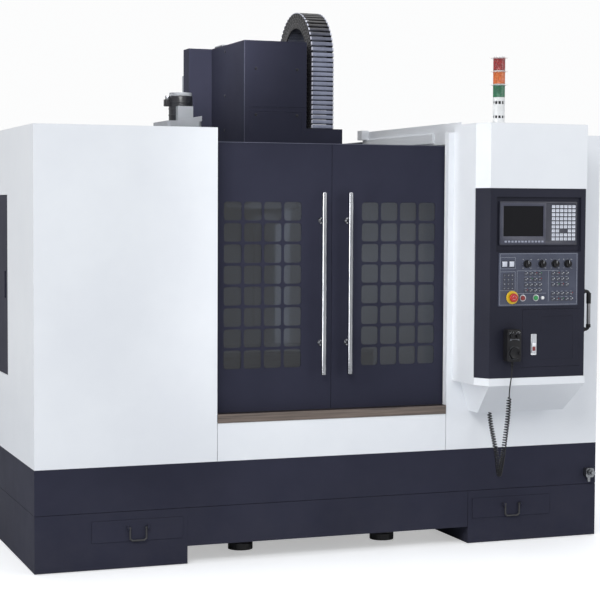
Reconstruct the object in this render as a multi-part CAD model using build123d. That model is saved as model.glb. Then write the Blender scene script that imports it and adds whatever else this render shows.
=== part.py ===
# Vertical machining centre: a cast bed and column, a cross table, a spindle head, a tool magazine,
# a sheet-metal enclosure with two sliding doors, and an operator console on the right.
# X runs to the right, Y to the back, Z up; the sizes are in millimetres.
# While it is modelled, x = 0 is the machine's middle, y = 0 the enclosure's front and z = 0 the floor.

from build123d import *
import math
import os

# Overall sizes
cabinet_top = 1950.0
cabinet_depth = 1500.0
left_cabinet_width = 828.0
right_cabinet_width = 810.0
door_opening = 1132.0
spindle_offset = 557.0
sheet = 3.0
seam = 2.0
running_gap = 0.3
panel_fit = 0.3

# Base
base_top = 456.0
plinth_top = 254.0
skirt_bottom = 82.0
foot_width = 690.0
foot_return = 420.0
plinth_clearance = 3.0
apron_flange = 26.0
sill_lap = 2.0
base_flange = 32.0
groove_depth = 1.2

# Bed, rails and column
bed_width = 900.0
bed_front = 140.0
bed_bottom = 62.0
bed_deck = 470.0
rail_width = 34.0
rail_height = 30.0
carriage_width = 74.0
carriage_length = 110.0
carriage_height = 48.0
y_rail_offset = 300.0
y_rail_seat = 540.0
y_rail_start = 330.0
column_front = 1500.0
column_rear = 1920.0
column_foot = 600.0
column_top = 2300.0
column_width = 500.0
column_flange = 100.0
column_spine = 330.0
column_shoulder = 1700.0
column_slope = 700.0
z_rail_offset = 190.0
z_rail_bottom = 930.0
foot_pad_radius = 58.0
foot_pad_height = 34.0
foot_bolt_radius = 14.0
foot_inset = 90.0
foot_end = 120.0
foot_rows = 3
rib_pocket_count = 4
rib_pocket_front = 280.0
rib_pocket_rear = 420.0
rib_pocket_length = 250.0
rib_pocket_height = 190.0
rib_pocket_depth = 60.0
motor_side = 130.0
motor_clearance = 4.0

# Table and saddle
spindle_y = 950.0
table_length = 1000.0
table_depth = 500.0
table_top = 880.0
table_thickness = 96.0
slot_count = 5
slot_pitch = 90.0
slot_neck = 18.0
slot_neck_depth = 18.0
slot_foot = 30.0
slot_foot_depth = 13.0
saddle_length = 1340.0
saddle_depth = 420.0
saddle_thickness = 118.0
x_rail_offset = 160.0
table_carriage_x = 200.0

# Head
head_half_width = 146.0
head_front = 826.0
head_bottom = 1590.0
head_body_top = 1860.0
head_plate_bottom = 1600.0
head_plate_top = 2080.0
nose_radius = 88.0
nose_bottom = 1520.0
spindle_radius = 62.0
spindle_nose = 1480.0
taper_mouth_radius = 22.2
taper_depth = 65.0
motor_radius = 105.0
motor_y = 1150.0
motor_top = 2330.0
cover_half_width = 165.0
cover_front = 800.0
cover_bottom = 1640.0
cover_top = 2425.0
cover_wing_half_width = 290.0
cover_wing_front = 1340.0
cover_wing_rear = 1440.0
cover_seam = 2097.0

# Energy chain
chain_left = 210.0
chain_width = 104.0
chain_height = 62.0
chain_front = 803.0
chain_radius = 240.0
chain_turn_z = 2360.0
chain_pitch = 25.0
chain_plate = 8.0
chain_slat = 4.0
chain_foot_z = 1994.0
chain_anchor_z = 1900.0
chain_box_left = 172.0
chain_box_right = 360.0
chain_box_height = 130.0
anchor_plate = 12.0

# Tool magazine
magazine_y = 1120.0
magazine_z = 1470.0
magazine_x = -700.0
disc_radius = 330.0
disc_thickness = 16.0
pot_count = 20
pot_circle = 285.0
pot_radius = 30.0
pot_length = 112.0
pot_side_count = 12
tool_radius = 21.0
tool_length = 34.0
hub_radius = 66.0
hub_length = 60.0
gearbox_width = 180.0
gearbox_right = -320.0
gearbox_front = 1010.0
gearbox_rear = 1290.0
gearbox_bottom = 1560.0
gearbox_top = 2030.0

# Sliding doors
door_front = 50.0
door_thickness = 32.0
door_bottom = 668.0
door_top = 1890.0
door_overlap = 30.0
door_skin = 3.0
pane_columns = 4
pane_rows = 8
pane_pitch = 96.0
pane_size = 84.0
pane_radius = 14.0
pane_corner_steps = 3
left_panes_inset = 45.0
right_panes_inset = 150.0
panes_bottom = 865.0
glass_thickness = 6.0
handle_radius = 12.0
handle_bottom = 830.0
handle_top = 1666.0
handle_standoff = 46.0
handle_post_low = 975.0
handle_post_high = 1537.0
handle_post_radius = 8.0
left_handle_inset = 54.0
right_handle_inset = 76.0
sill_front_height = 38.0
sill_rear = 150.0
track_height = 34.0
track_depth = 30.0

# Side door of the tool magazine
side_door_front = 600.0
side_door_length = 700.0
side_door_bottom = 815.0
side_door_top = 1647.0
side_door_thickness = 18.0

# Electrical cabinet
electrics_width = 1200.0
electrics_front = 1960.0
electrics_depth = 290.0
electrics_bottom = 520.0
electrics_top = 1930.0
electrics_door = 16.0
electrics_handle = 26.0
electrics_bracket = 50.0
plate_inset = 60.0

# Console
pod_gap = 30.0
pod_width = 538.0
pod_front = -300.0
pod_chamfer_x = 40.0
pod_chamfer_y = 74.0
ledge_top = 820.0
ledge_height = 35.0
wedge_height = 145.0
hood_height = 296.0
wedge_rear = -100.0
wedge_taper = 45.0
case_inset = 4.0
case_depth = 78.0
case_wall = 4.0
recess_inset_left = 74.0
recess_inset_right = 27.0
recess_gap = 5.0
recess_height = 250.0
recess_cover = 40.0
recess_depth = 12.0
cnc_width = 400.0
cnc_height = 200.0
cnc_inset = 90.0
cnc_rise = 30.0
cnc_thickness = 10.0
screen_inset = 15.0
screen_width = 212.0
screen_rise = 37.0
screen_height = 146.0
screen_recess = 4.0
screen_glass = 2.0
key_size = 15.0
key_height = 1.5
key_columns_inset = 268.0
key_spacing = 6.0
key_pitch_x = 21.2
key_pitch_z = 18.6
key_grid_columns = 6
key_grid_rows = 9
key_grid_drop = 16.0
soft_key_count = 12
soft_key_pitch = 17.2
soft_key_rise = 21.0
soft_key_width = 13.0
soft_key_height = 12.0
# Each block of keys: its columns and rows, then its place in from the left, down from the top, and two pitches
key_columns = (3, 4, 4, 5)
key_rows = (4, 4, 3, 2)
key_blocks = ((22.0, 94.0, 20.0, 20.0), (130.0, 89.0, 24.0, 26.0),
              (270.0, 89.0, 24.0, 26.0), (270.0, 182.0, 24.0, 26.0))
soft_keys_inset = 25.0
panel_inset = 85.0
panel_width = 410.0
panel_gap = 15.0
panel_height = 244.0
panel_thickness = 4.0
knob_drop = 51.0
knob_insets = (143.0, 221.0, 289.0, 354.0)
knob_radius = 15.0
knob_height = 17.0
knob_skirt = 18.0
stop_inset = 69.0
stop_rise = 40.0
stop_collar = 30.0
stop_cap = 20.0
stop_stem = 11.0
stop_travel = 5.0
button_rise = 37.0
hold_inset = 123.0
start_inset = 190.0
lamp_inset = 226.0
rocker_insets = (28.0, 64.0)
rocker_width = 22.0
rocker_height = 24.0
button_radius = 11.0
button_height = 8.0
shaft_tail = 14.0
hole_radius = 4.0
hatch_inset_left = 211.0
hatch_inset_right = 30.0
hatch_rise = 47.0
hatch_height = 268.0
hatch_thickness = 5.0
hatch_gap = 1.0
latch_inset = 58.0
latch_rise = 99.0
latch_width = 28.0
latch_height = 87.0
grab_rise = 202.0
grab_length = 202.0
grab_reach = 38.0
grab_radius = 8.0
grab_setback = 38.0

# Hand pendant and its cord
pendant_inset = 144.0
pendant_rise = 79.0
pendant_height = 148.0
pendant_width = 70.0
pendant_depth = 44.0
pendant_gap = 10.0
wheel_radius = 27.0
wheel_height = 11.0
crank_radius = 5.0
crank_height = 13.0
selector_radius = 9.5
selector_height = 11.0
relief_radius = 6.5
relief_length = 32.0
lead_radius = 2.5
coil_radius = 10.0
gland_radius = 12.0

# Signal tower
tower_inset = 178.0
tower_setback = 100.0
tower_radius = 28.0
tower_foot_radius = 34.0
lens_height = 53.0
lens_ring = 9.0
lens_count = 3
tower_stem_height = 128.0
tower_cap = 14.0

# Drawers and the air coupling
drawer_inset = 460.0
drawer_width = 415.0
drawer_height = 95.0
drawer_bottom = 122.0
drawer_depth = 340.0
drawer_lap = 10.0
drawer_ledge = 14.0
drawer_wall = 2.0
bail_width = 84.0
bail_drop = 60.0
bail_corner = 9.0
bail_radius = 4.0
bail_pin = 3.0
bail_clearance = 0.05
ear_thickness = 7.0
ear_reach = 17.0
pivot_z = 181.0
coupling_inset = 46.0
coupling_z = 312.0

# Places worked out from the sizes above
opening_left = -spindle_offset
opening_right = opening_left + door_opening
left_end = opening_left - left_cabinet_width
right_end = opening_right + right_cabinet_width
door_meet = (opening_left + opening_right) / 2
left_panes_x = opening_left + left_panes_inset
right_panes_x = door_meet + right_panes_inset
left_handle_x = door_meet - left_handle_inset
right_handle_x = door_meet + right_handle_inset
y_rail_end = column_front - 60.0
saddle_bottom = y_rail_seat + carriage_height
saddle_top = saddle_bottom + saddle_thickness
table_bottom = table_top - table_thickness
pod_left = opening_right + pod_gap
pod_right = pod_left + pod_width
ledge_bottom = ledge_top - ledge_height
wedge_bottom = ledge_bottom - wedge_height
hatch_left = pod_left + hatch_inset_left
hatch_right = pod_right - hatch_inset_right
hatch_bottom = ledge_top + hatch_rise
hatch_top = hatch_bottom + hatch_height
latch_x = hatch_left + latch_inset
latch_z = hatch_bottom + latch_rise
panel_left = pod_left + panel_inset
panel_right = panel_left + panel_width
panel_bottom = hatch_top + panel_gap
panel_top = panel_bottom + panel_height
knob_places = tuple(panel_left + inset for inset in knob_insets)
knob_z = panel_top - knob_drop
stop_x = panel_left + stop_inset
stop_z = panel_bottom + stop_rise
button_z = panel_bottom + button_rise
hold_x = panel_left + hold_inset
start_x = panel_left + start_inset
lamp_x = panel_left + lamp_inset
recess_left = pod_left + recess_inset_left
recess_right = pod_right - recess_inset_right
recess_bottom = panel_top + recess_gap
recess_top = recess_bottom + recess_height
cnc_left = pod_left + cnc_inset
cnc_bottom = recess_bottom + cnc_rise
screen_left = cnc_left + screen_inset
screen_bottom = cnc_bottom + screen_rise
hood_bottom = recess_top + recess_cover
pod_top = hood_bottom + hood_height
case_front = pod_front + case_inset
case_rear = case_front + case_depth
grab_bottom = ledge_top + grab_rise
grab_top = grab_bottom + grab_length
grab_y = pod_front + grab_setback
pendant_x = pod_left + pendant_inset
pendant_bottom = ledge_top + pendant_rise
pendant_top = pendant_bottom + pendant_height
pendant_rear = case_front - pendant_gap
pendant_front = pendant_rear - pendant_depth
tower_x = pod_left + tower_inset
tower_y = -tower_setback
coupling_x = right_end - coupling_inset
front_reach = pendant_front - wheel_height - crank_height
rear_reach = electrics_front + electrics_depth + electrics_door + electrics_handle
middle_x = (left_end + right_end) / 2
middle_y = (front_reach + rear_reach) / 2


# Solids from their limits
def block(x0, x1, y0, y1, z0, z1):
    place = Pos((x0 + x1) / 2, (y0 + y1) / 2, (z0 + z1) / 2)
    return place * Box(x1 - x0, y1 - y0, z1 - z0)


def rod_x(radius, x0, x1, y, z):
    return Pos((x0 + x1) / 2, y, z) * Rot(0, 90, 0) * Cylinder(radius, x1 - x0)


def rod_y(radius, y0, y1, x, z):
    return Pos(x, (y0 + y1) / 2, z) * Rot(90, 0, 0) * Cylinder(radius, y1 - y0)


def rod_z(radius, z0, z1, x, y):
    return Pos(x, y, (z0 + z1) / 2) * Cylinder(radius, z1 - z0)


def prism_x(outline, x0, x1):
    face = make_face(Polyline(*[(x0, y, z) for y, z in outline], close=True))
    return extrude(face, amount=x1 - x0, dir=(1, 0, 0))


def prism_y(outline, y0, y1):
    face = make_face(Polyline(*[(x, y0, z) for x, z in outline], close=True))
    return extrude(face, amount=y1 - y0, dir=(0, 1, 0))


def prism_z(outline, z0, z1):
    face = make_face(Polyline(*[(x, y, z0) for x, y in outline], close=True))
    return extrude(face, amount=z1 - z0, dir=(0, 0, 1))


# A tube along a path of straight runs and arcs
def tube(path, radius):
    line = path.wire() if hasattr(path, "wire") else path
    profile = Plane(origin=line @ 0, z_dir=line % 0) * Circle(radius)
    return sweep(profile, path=line, transition=Transition.RIGHT)


# Bed, column and their rails
def bed_casting():
    half = bed_width / 2
    seat = carriage_width / 2 + 14
    body = block(-half, half, bed_front, column_rear, bed_bottom, bed_deck)
    # The chip slopes fall away on both sides of the ways
    way_left = y_rail_offset + seat
    for side in (-1, 1):
        chute = [(side * x, z) for x, z in [(way_left, bed_deck + 1), (half + 1, bed_deck + 1),
                                            (half + 1, bed_deck - 110)]]
        body -= prism_y(chute, bed_front - 1, column_front - 40)
        body += block(side * y_rail_offset - seat, side * y_rail_offset + seat,
                      bed_front, column_front - 20, bed_deck, y_rail_seat)
        body += block(side * y_rail_offset - rail_width / 2, side * y_rail_offset + rail_width / 2,
                      y_rail_start, y_rail_end, y_rail_seat, y_rail_seat + rail_height)
    body += block(-column_width / 2 - 40, column_width / 2 + 40, column_front - 20, column_rear,
                  bed_deck, column_foot)
    # Pockets between the cast ribs of the two sides
    first = bed_front + rib_pocket_front
    pitch = (column_rear - rib_pocket_rear - first) / (rib_pocket_count - 1)
    bottom = bed_bottom + 80
    for side in (-1, 1):
        inner = side * (half - rib_pocket_depth)
        outer = side * (half + 1)
        for number in range(rib_pocket_count):
            y = first + number * pitch
            body -= block(min(inner, outer), max(inner, outer), y - rib_pocket_length / 2,
                          y + rib_pocket_length / 2, bottom, bottom + rib_pocket_height)
    # The Y axis motor stands in front, between the ways
    motor_z = y_rail_seat - 100
    body += rod_y(30, bed_front - 14, bed_front + 40, 0, motor_z)
    body += block(-motor_side / 2, motor_side / 2, apron_flange + motor_clearance, bed_front,
                  motor_z - motor_side / 2, motor_z + motor_side / 2)
    # A long well for the ball screw
    body -= block(-70, 70, bed_front + 40, column_front - 60, bed_deck - 90, bed_deck + 1)
    return body


def foot_places():
    x = bed_width / 2 - foot_inset
    first = bed_front + foot_end
    pitch = (column_rear - foot_end - first) / (foot_rows - 1)
    return [(side * x, first + row * pitch) for side in (-1, 1) for row in range(foot_rows)]


def levelling_feet():
    feet = []
    for x, y in foot_places():
        foot = rod_z(foot_pad_radius, 0, foot_pad_height, x, y)
        foot = chamfer(foot.edges().group_by(Axis.Z)[-1], 5)
        foot += rod_z(foot_bolt_radius, foot_pad_height, bed_bottom, x, y)
        feet.append(foot)
    return Compound(feet)


def column_casting():
    half = column_width / 2
    spine = column_spine / 2
    back = [(column_front, column_foot), (column_rear, column_foot), (column_rear, column_shoulder),
            (column_front + 2 * column_flange, column_top), (column_front, column_top)]
    column = prism_x(back, -spine, spine)
    column += block(-half, half, column_front, column_front + column_flange, column_foot, column_top)
    lower = [(column_front, column_foot), (column_rear, column_foot),
             (column_rear, column_shoulder - column_slope), (column_front + column_flange, column_shoulder),
             (column_front, column_shoulder)]
    column += prism_x(lower, -half, half)
    # Chip relief between the ways
    column -= block(-z_rail_offset + 60, z_rail_offset - 60, column_front - 1, column_front + 24,
                    z_rail_bottom, column_top - 60)
    for side in (-1, 1):
        column += block(side * z_rail_offset - rail_width / 2, side * z_rail_offset + rail_width / 2,
                        column_front - rail_height, column_front, z_rail_bottom, column_top - 20)
    # The Z axis motor on its bracket
    column += block(-90, 90, column_front - 30, column_front + column_flange, column_top, column_top + 18)
    column += block(-motor_side / 2, motor_side / 2, column_front - 25, column_front + motor_side - 25,
                    column_top + 18, column_top + 165)
    # The arm that holds the fixed end of the energy chain
    arm_x = chain_left + chain_width
    anchor_low = chain_anchor_z - 90
    rear_branch = chain_front + 2 * chain_radius
    column += block(half, arm_x, column_front, column_front + anchor_plate, anchor_low, chain_anchor_z)
    column += block(arm_x - anchor_plate, arm_x, rear_branch - chain_height, column_front + anchor_plate,
                    anchor_low, chain_anchor_z)
    column += block(chain_left, arm_x, rear_branch - chain_height, rear_branch,
                    chain_anchor_z - anchor_plate, chain_anchor_z)
    return column


# Cross slide and table
def saddle():
    y0 = spindle_y - saddle_depth / 2
    y1 = spindle_y + saddle_depth / 2
    half = saddle_length / 2
    body = block(-half, half, y0, y1, saddle_bottom, saddle_top)
    edges = body.edges().filter_by(Axis.Z)
    body = chamfer(edges, 30)
    slot = rail_width / 2 + running_gap
    low = y_rail_seat + 8
    for side in (-1, 1):
        for y in (y0 + carriage_length / 2, y1 - carriage_length / 2):
            x = side * y_rail_offset
            body += block(x - carriage_width / 2, x + carriage_width / 2,
                          y - carriage_length / 2, y + carriage_length / 2, low, saddle_bottom)
        body -= block(side * y_rail_offset - slot, side * y_rail_offset + slot, y0 - 1, y1 + 1,
                      low - 1, y_rail_seat + rail_height + running_gap)
        rail = side * x_rail_offset + spindle_y
        body += block(-half + 8, half - 8, rail - rail_width / 2, rail + rail_width / 2,
                      saddle_top, saddle_top + rail_height)
    # The X axis motor at the right-hand end
    body += block(half, half + 90, spindle_y - motor_side / 2, spindle_y + motor_side / 2,
                  saddle_bottom - 8, saddle_bottom - 8 + motor_side)
    return body


def table():
    x1 = table_length / 2
    y0 = spindle_y - table_depth / 2
    y1 = spindle_y + table_depth / 2
    top = block(-x1, x1, y0, y1, table_bottom, table_top)
    top = chamfer(top.edges().filter_by(Axis.Z), 8)
    for number in range(slot_count):
        y = spindle_y + (number - (slot_count - 1) / 2) * slot_pitch
        neck = table_top - slot_neck_depth
        top -= block(-x1 - 1, x1 + 1, y - slot_neck / 2, y + slot_neck / 2, neck, table_top + 1)
        top -= block(-x1 - 1, x1 + 1, y - slot_foot / 2, y + slot_foot / 2,
                     neck - slot_foot_depth, neck + 0.01)
    slot = rail_width / 2 + running_gap
    low = saddle_top + 8
    for side in (-1, 1):
        rail = side * x_rail_offset + spindle_y
        for x in (-table_carriage_x, table_carriage_x):
            top += block(x - carriage_length / 2, x + carriage_length / 2,
                         rail - carriage_width / 2, rail + carriage_width / 2, low, table_bottom)
        top -= block(-x1 - 1, x1 + 1, rail - slot, rail + slot, low - 1,
                     saddle_top + rail_height + running_gap)
    return top


# Spindle head
def head_casting():
    body = block(-head_half_width, head_half_width, head_front, cover_wing_front + 16,
                 head_bottom, head_body_top)
    body = fillet(body.edges().filter_by(Axis.Z).group_by(Axis.Y)[0], 40)
    # The underside rises towards the column
    body -= prism_x([(spindle_y + 170, head_bottom - 1), (cover_wing_front + 17, head_bottom - 1),
                     (cover_wing_front + 17, head_bottom + 110)], -head_half_width - 1, head_half_width + 1)
    body += rod_z(nose_radius, nose_bottom, head_bottom + 10, 0, spindle_y)
    plate_half = cover_wing_half_width - sheet - 12
    plate_front = cover_wing_front + 16
    plate_rear = column_front - carriage_height - 10
    body += block(-plate_half, plate_half, plate_front, plate_rear, head_plate_bottom, head_plate_top)
    slot = rail_width / 2 + running_gap
    for side in (-1, 1):
        x = side * z_rail_offset
        for z in (head_plate_bottom + carriage_length / 2, head_plate_top - carriage_length / 2):
            body += block(x - carriage_width / 2, x + carriage_width / 2, plate_rear, column_front - 8,
                          z - carriage_length / 2, z + carriage_length / 2)
        body -= block(x - slot, x + slot, column_front - rail_height - running_gap, column_front + 1,
                      head_plate_bottom - 1, head_plate_top + 1)
    body -= rod_z(spindle_radius + running_gap, nose_bottom - 1, head_body_top - 60, 0, spindle_y)
    return body


def spindle():
    shaft = rod_z(spindle_radius, nose_bottom - 8, head_body_top - 61, 0, spindle_y)
    shaft += rod_z(spindle_radius - 18, spindle_nose, nose_bottom - 8, 0, spindle_y)
    shaft += rod_z(spindle_radius + 8, nose_bottom - 8, nose_bottom - running_gap, 0, spindle_y)
    # The 7 in 24 taper of the tool seat
    tip = taper_mouth_radius - taper_depth * 7 / 48
    seat = Pos(0, spindle_y, spindle_nose + taper_depth / 2) * Cone(taper_mouth_radius, tip, taper_depth)
    shaft -= seat
    # Two drive keys on the face
    for side in (-1, 1):
        shaft += block(side * 33 - 7, side * 33 + 7, spindle_y - 8, spindle_y + 8,
                       spindle_nose - 8, spindle_nose + 1)
    return shaft


def spindle_motor():
    motor = rod_z(motor_radius, head_body_top + 26, motor_top - 50, 0, motor_y)
    motor += block(-motor_radius - 8, motor_radius + 8, motor_y - motor_radius - 8,
                   motor_y + motor_radius + 8, head_body_top, head_body_top + 26)
    for number in range(16):
        angle = number * 360 / 16
        rib = block(motor_radius - 4, motor_radius + 8, -4, 4, head_body_top + 40, motor_top - 70)
        motor += Pos(0, motor_y, 0) * Rot(0, 0, angle) * rib
    motor += rod_z(motor_radius + 6, motor_top - 50, motor_top, 0, motor_y)
    return motor


def cover_outline(inset):
    front = cover_front + inset
    neck = cover_half_width - inset
    wing = cover_wing_half_width - inset
    step = cover_wing_front + inset
    rear = cover_wing_rear
    return [(-neck, front), (neck, front), (neck, step), (wing, step), (wing, rear), (-wing, rear),
            (-wing, step), (-neck, step)]


def head_cover():
    cover = prism_z(cover_outline(0), cover_bottom, cover_top)
    cover -= prism_z(cover_outline(sheet), cover_bottom - 1, cover_top - sheet)
    # The open back is clear of the column and its motor
    cover -= block(-cover_wing_half_width + sheet, cover_wing_half_width - sheet,
                   cover_wing_rear - 1, cover_wing_rear + 1, cover_bottom - 1, cover_top - sheet)
    # Joint lines of the two front panels
    cover -= block(-cover_half_width - 1, cover_half_width + 1, cover_front - 1, cover_front + groove_depth,
                   cover_seam - seam / 2, cover_seam + seam / 2)
    hatch = 136.0
    for x in (-hatch, hatch):
        cover -= block(x - seam / 2, x + seam / 2, cover_front - 1, cover_front + groove_depth,
                       cover_seam - 130, cover_seam - 24)
    cover -= block(-hatch, hatch, cover_front - 1, cover_front + groove_depth,
                   cover_seam - 24 - seam, cover_seam - 24)
    # The box that holds the moving end of the energy chain
    box_y = chain_front - sheet
    box = block(cover_half_width, chain_box_right, box_y, box_y + chain_height + 2 * sheet,
                chain_foot_z - chain_box_height, chain_foot_z)
    box -= block(chain_box_left, chain_box_right - sheet, box_y + sheet, box_y + chain_height + sheet,
                 chain_foot_z - chain_box_height - 1, chain_foot_z - 24)
    return cover + box


# The chain's middle line seen from the side: front branch, half turn, rear branch
def chain_station(distance):
    mean = chain_radius - chain_height / 2
    front_run = chain_turn_z - chain_foot_z
    turn = math.pi * mean
    centre_y = chain_front + chain_radius
    if distance < front_run:
        return centre_y - mean, chain_foot_z + distance, 90.0
    if distance < front_run + turn:
        angle = math.pi - (distance - front_run) / mean
        return (centre_y + mean * math.cos(angle), chain_turn_z + mean * math.sin(angle),
                math.degrees(angle) - 90.0)
    return centre_y + mean, chain_turn_z - (distance - front_run - turn), -90.0


def chain_band(outer, inner, x0, x1):
    centre_y = chain_front + chain_radius
    arch = rod_x(outer, x0, x1, centre_y, chain_turn_z)
    arch -= block(x0 - 1, x1 + 1, centre_y - outer - 1, centre_y + outer + 1,
                  chain_turn_z - outer - 1, chain_turn_z)
    arch += block(x0, x1, centre_y - outer, centre_y, chain_foot_z, chain_turn_z)
    arch += block(x0, x1, centre_y, centre_y + outer, chain_anchor_z, chain_turn_z)
    hollow = rod_x(inner, x0 - 1, x1 + 1, centre_y, chain_turn_z)
    hollow += block(x0 - 1, x1 + 1, centre_y - inner, centre_y + inner, chain_anchor_z - 1, chain_turn_z)
    return arch - hollow


def energy_chain():
    right = chain_left + chain_width
    outer = chain_radius - chain_slat
    inner = chain_radius - chain_height + chain_slat
    links = chain_band(outer, inner, chain_left, chain_left + chain_plate)
    links += chain_band(outer, inner, right - chain_plate, right)
    length = (chain_turn_z - chain_foot_z) + (chain_turn_z - chain_anchor_z)
    length += math.pi * (chain_radius - chain_height / 2)
    count = int(length / chain_pitch)
    middle_x = chain_left + chain_width / 2
    slat_inlay = 1.0
    slats = []
    for number in range(count):
        y, z, lean = chain_station((number + 0.5) * length / count)
        for side in (-1, 1):
            offset = side * (chain_height - chain_slat - slat_inlay) / 2
            slat = Pos(0, 0, offset) * Box(chain_width, chain_pitch * 0.72, chain_slat + slat_inlay)
            slats.append(Pos(middle_x, y, z) * Rot(lean, 0, 0) * slat)
    return links + slats


# Tool magazine
def magazine_gearbox():
    left = gearbox_right - gearbox_width
    box = block(left, gearbox_right, gearbox_front, gearbox_rear, gearbox_bottom, gearbox_top)
    box = chamfer(box.edges().filter_by(Axis.Z), 14)
    # The sloping lid and the motor on it
    lid = [(left - 70, gearbox_top - 26), (left - 70, gearbox_top - 20), (gearbox_right, gearbox_top + 26),
           (gearbox_right, gearbox_top - 1), (left, gearbox_top - 1)]
    box += prism_y(lid, gearbox_front, gearbox_rear)
    motor_x = gearbox_right - 62
    box += rod_z(58, gearbox_top, gearbox_top + 150, motor_x, magazine_y + 60)
    box += block(motor_x - 40, motor_x + 40, magazine_y - 30, magazine_y + 10,
                 gearbox_top, gearbox_top + 78)
    # The plate that bolts it to the column
    column_side = -column_width / 2
    box += block(gearbox_right, gearbox_right + 20, gearbox_front + 160, column_front + column_flange,
                 gearbox_bottom, gearbox_top - 120)
    box += block(gearbox_right + 20, column_side, column_front + 10, column_front + column_flange,
                 gearbox_bottom, gearbox_top - 120)
    # The shaft housing of the disc
    box += rod_x(74, magazine_x + running_gap, left + 1, magazine_y, magazine_z)
    box += block(left - 60, left + 20, magazine_y - 90, magazine_y + 90, magazine_z - 74, gearbox_bottom + 60)
    # The double arm, parked beside the spindle
    arm_z = gearbox_bottom - 46
    arm_x = left + gearbox_width / 2
    box += rod_z(38, arm_z, gearbox_bottom, arm_x, spindle_y + 110)
    arm = block(arm_x - 30, arm_x + 30, spindle_y - 130, spindle_y + 350, arm_z, arm_z + 24)
    box += fillet(arm.edges().filter_by(Axis.Z), 26)
    return box


def pot_prism(radius, x0, x1, y, z):
    steps = [number * 2 * math.pi / pot_side_count for number in range(pot_side_count)]
    outline = [(y + radius * math.cos(step), z + radius * math.sin(step)) for step in steps]
    return prism_x(outline, x0, x1)


def magazine_disc():
    face = magazine_x - disc_thickness
    disc = rod_x(disc_radius, face, magazine_x, magazine_y, magazine_z)
    disc += rod_x(hub_radius, magazine_x - hub_length, face, magazine_y, magazine_z)
    for number in range(pot_count):
        angle = number * 2 * math.pi / pot_count
        y = magazine_y + pot_circle * math.cos(angle)
        z = magazine_z + pot_circle * math.sin(angle)
        pot = pot_prism(pot_radius, face - pot_length, face, y, z)
        tool = pot_prism(tool_radius, face - pot_length - tool_length, face - pot_length, y, z)
        disc += [pot, tool]
    return disc


# Sheet-metal base
def base_pan():
    clearance = 10.0
    half = bed_width / 2 + clearance
    pan = block(left_end, right_end, 0, cabinet_depth, plinth_top + seam, base_top)
    pan -= block(left_end + sheet, right_end - sheet, sheet, cabinet_depth - sheet,
                 plinth_top, base_top - sheet)
    pan -= block(-half, half, bed_front - clearance, cabinet_depth + 1, plinth_top, base_top + 1)
    motor = motor_side / 2 + clearance
    pan -= block(-motor, motor, sheet + 8, bed_front, base_top - sheet - 1, base_top + 1)
    return pan


def drawer_places():
    return {"left": left_end + drawer_inset, "right": right_end - drawer_inset}


def drawer_limits(x):
    half = drawer_width / 2 - drawer_lap
    return x - half, x + half, drawer_bottom + drawer_lap, drawer_bottom + drawer_height - drawer_lap


def base_plinth():
    low = plinth_clearance
    carried = plinth_top - sheet
    behind = sheet + panel_fit
    left_foot = left_end + foot_width
    right_foot = right_end - foot_width
    # The middle skirt is a sheet of its own and leaves a joint line at the right foot
    sheets = [block(left_foot + panel_fit, right_foot - seam, 0, sheet, skirt_bottom, plinth_top)]
    drawers = drawer_places()
    for side, end, foot, name in ((-1, left_end, left_foot, "left"), (1, right_end, right_foot, "right")):
        x0, x1, z0, z1 = drawer_limits(drawers[name])
        front = block(min(foot, end), max(foot, end), 0, sheet, low, plinth_top)
        front -= block(x0, x1, -1, sheet + 1, z0, z1)
        sheets.append(front)
        outer = end - side * sheet
        sheets.append(block(min(outer, end), max(outer, end), behind, cabinet_depth, low, plinth_top))
        inner = foot + side * sheet
        sheets.append(block(min(foot, inner), max(foot, inner), behind, foot_return, low, carried - panel_fit))
        sheets.append(block(min(inner, outer) + panel_fit, max(inner, outer) - panel_fit,
                            foot_return - sheet, foot_return, low, carried - panel_fit))
        # Bars under the drawer's two sides run from the front sheet to the foot's rear sheet
        for edge, out in ((x0, -1), (x1, 1)):
            near = edge - out * drawer_ledge
            far = edge + out * (running_gap + sheet)
            sheets.append(block(min(near, far), max(near, far), behind, foot_return - behind,
                                z0 - drawer_ledge, z0))
    # A flange all round carries the pan; its raised strip stands behind the joint line
    rim = base_flange + panel_fit
    for x0, x1, y0, y1 in ((left_end, right_end, 0, base_flange),
                           (left_end, left_end + base_flange, rim, cabinet_depth),
                           (right_end - base_flange, right_end, rim, cabinet_depth)):
        flange = block(max(x0, left_end + behind), min(x1, right_end - behind), max(y0, behind), y1,
                       carried, plinth_top)
        flange += block(max(x0, left_end + 2 * sheet), min(x1, right_end - 2 * sheet), max(y0, 2 * sheet), y1,
                        plinth_top, plinth_top + seam)
        sheets.append(flange)
    return Compound(sheets)


def drawer(x):
    x0, x1, z0, z1 = drawer_limits(x)
    z0 += running_gap
    z1 -= running_gap
    box = block(x0, x1, -running_gap, drawer_depth, z0, z1)
    box -= block(x0 + drawer_wall, x1 - drawer_wall, drawer_wall, drawer_depth - drawer_wall,
                 z0 + drawer_wall, z1 + 1)
    half = drawer_width / 2
    front = block(x - half, x + half, -running_gap - sheet, -running_gap,
                  drawer_bottom, drawer_bottom + drawer_height)
    box += front
    pivot_y = bail_pivot_y()
    for side in (-1, 1):
        inner = x + side * bail_width / 2
        outer = inner + side * ear_thickness
        ear = block(min(inner, outer), max(inner, outer), -running_gap - sheet - ear_reach,
                    -running_gap - sheet, pivot_z - 9, pivot_z + 9)
        box += fillet(ear.edges().filter_by(Axis.X).group_by(Axis.Y)[0], 6)
        box -= rod_x(bail_pin + bail_clearance, min(inner, outer) - 1, max(inner, outer) + 1, pivot_y, pivot_z)
    return box


def bail_pivot_y():
    return -running_gap - sheet - ear_reach + 8


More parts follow.
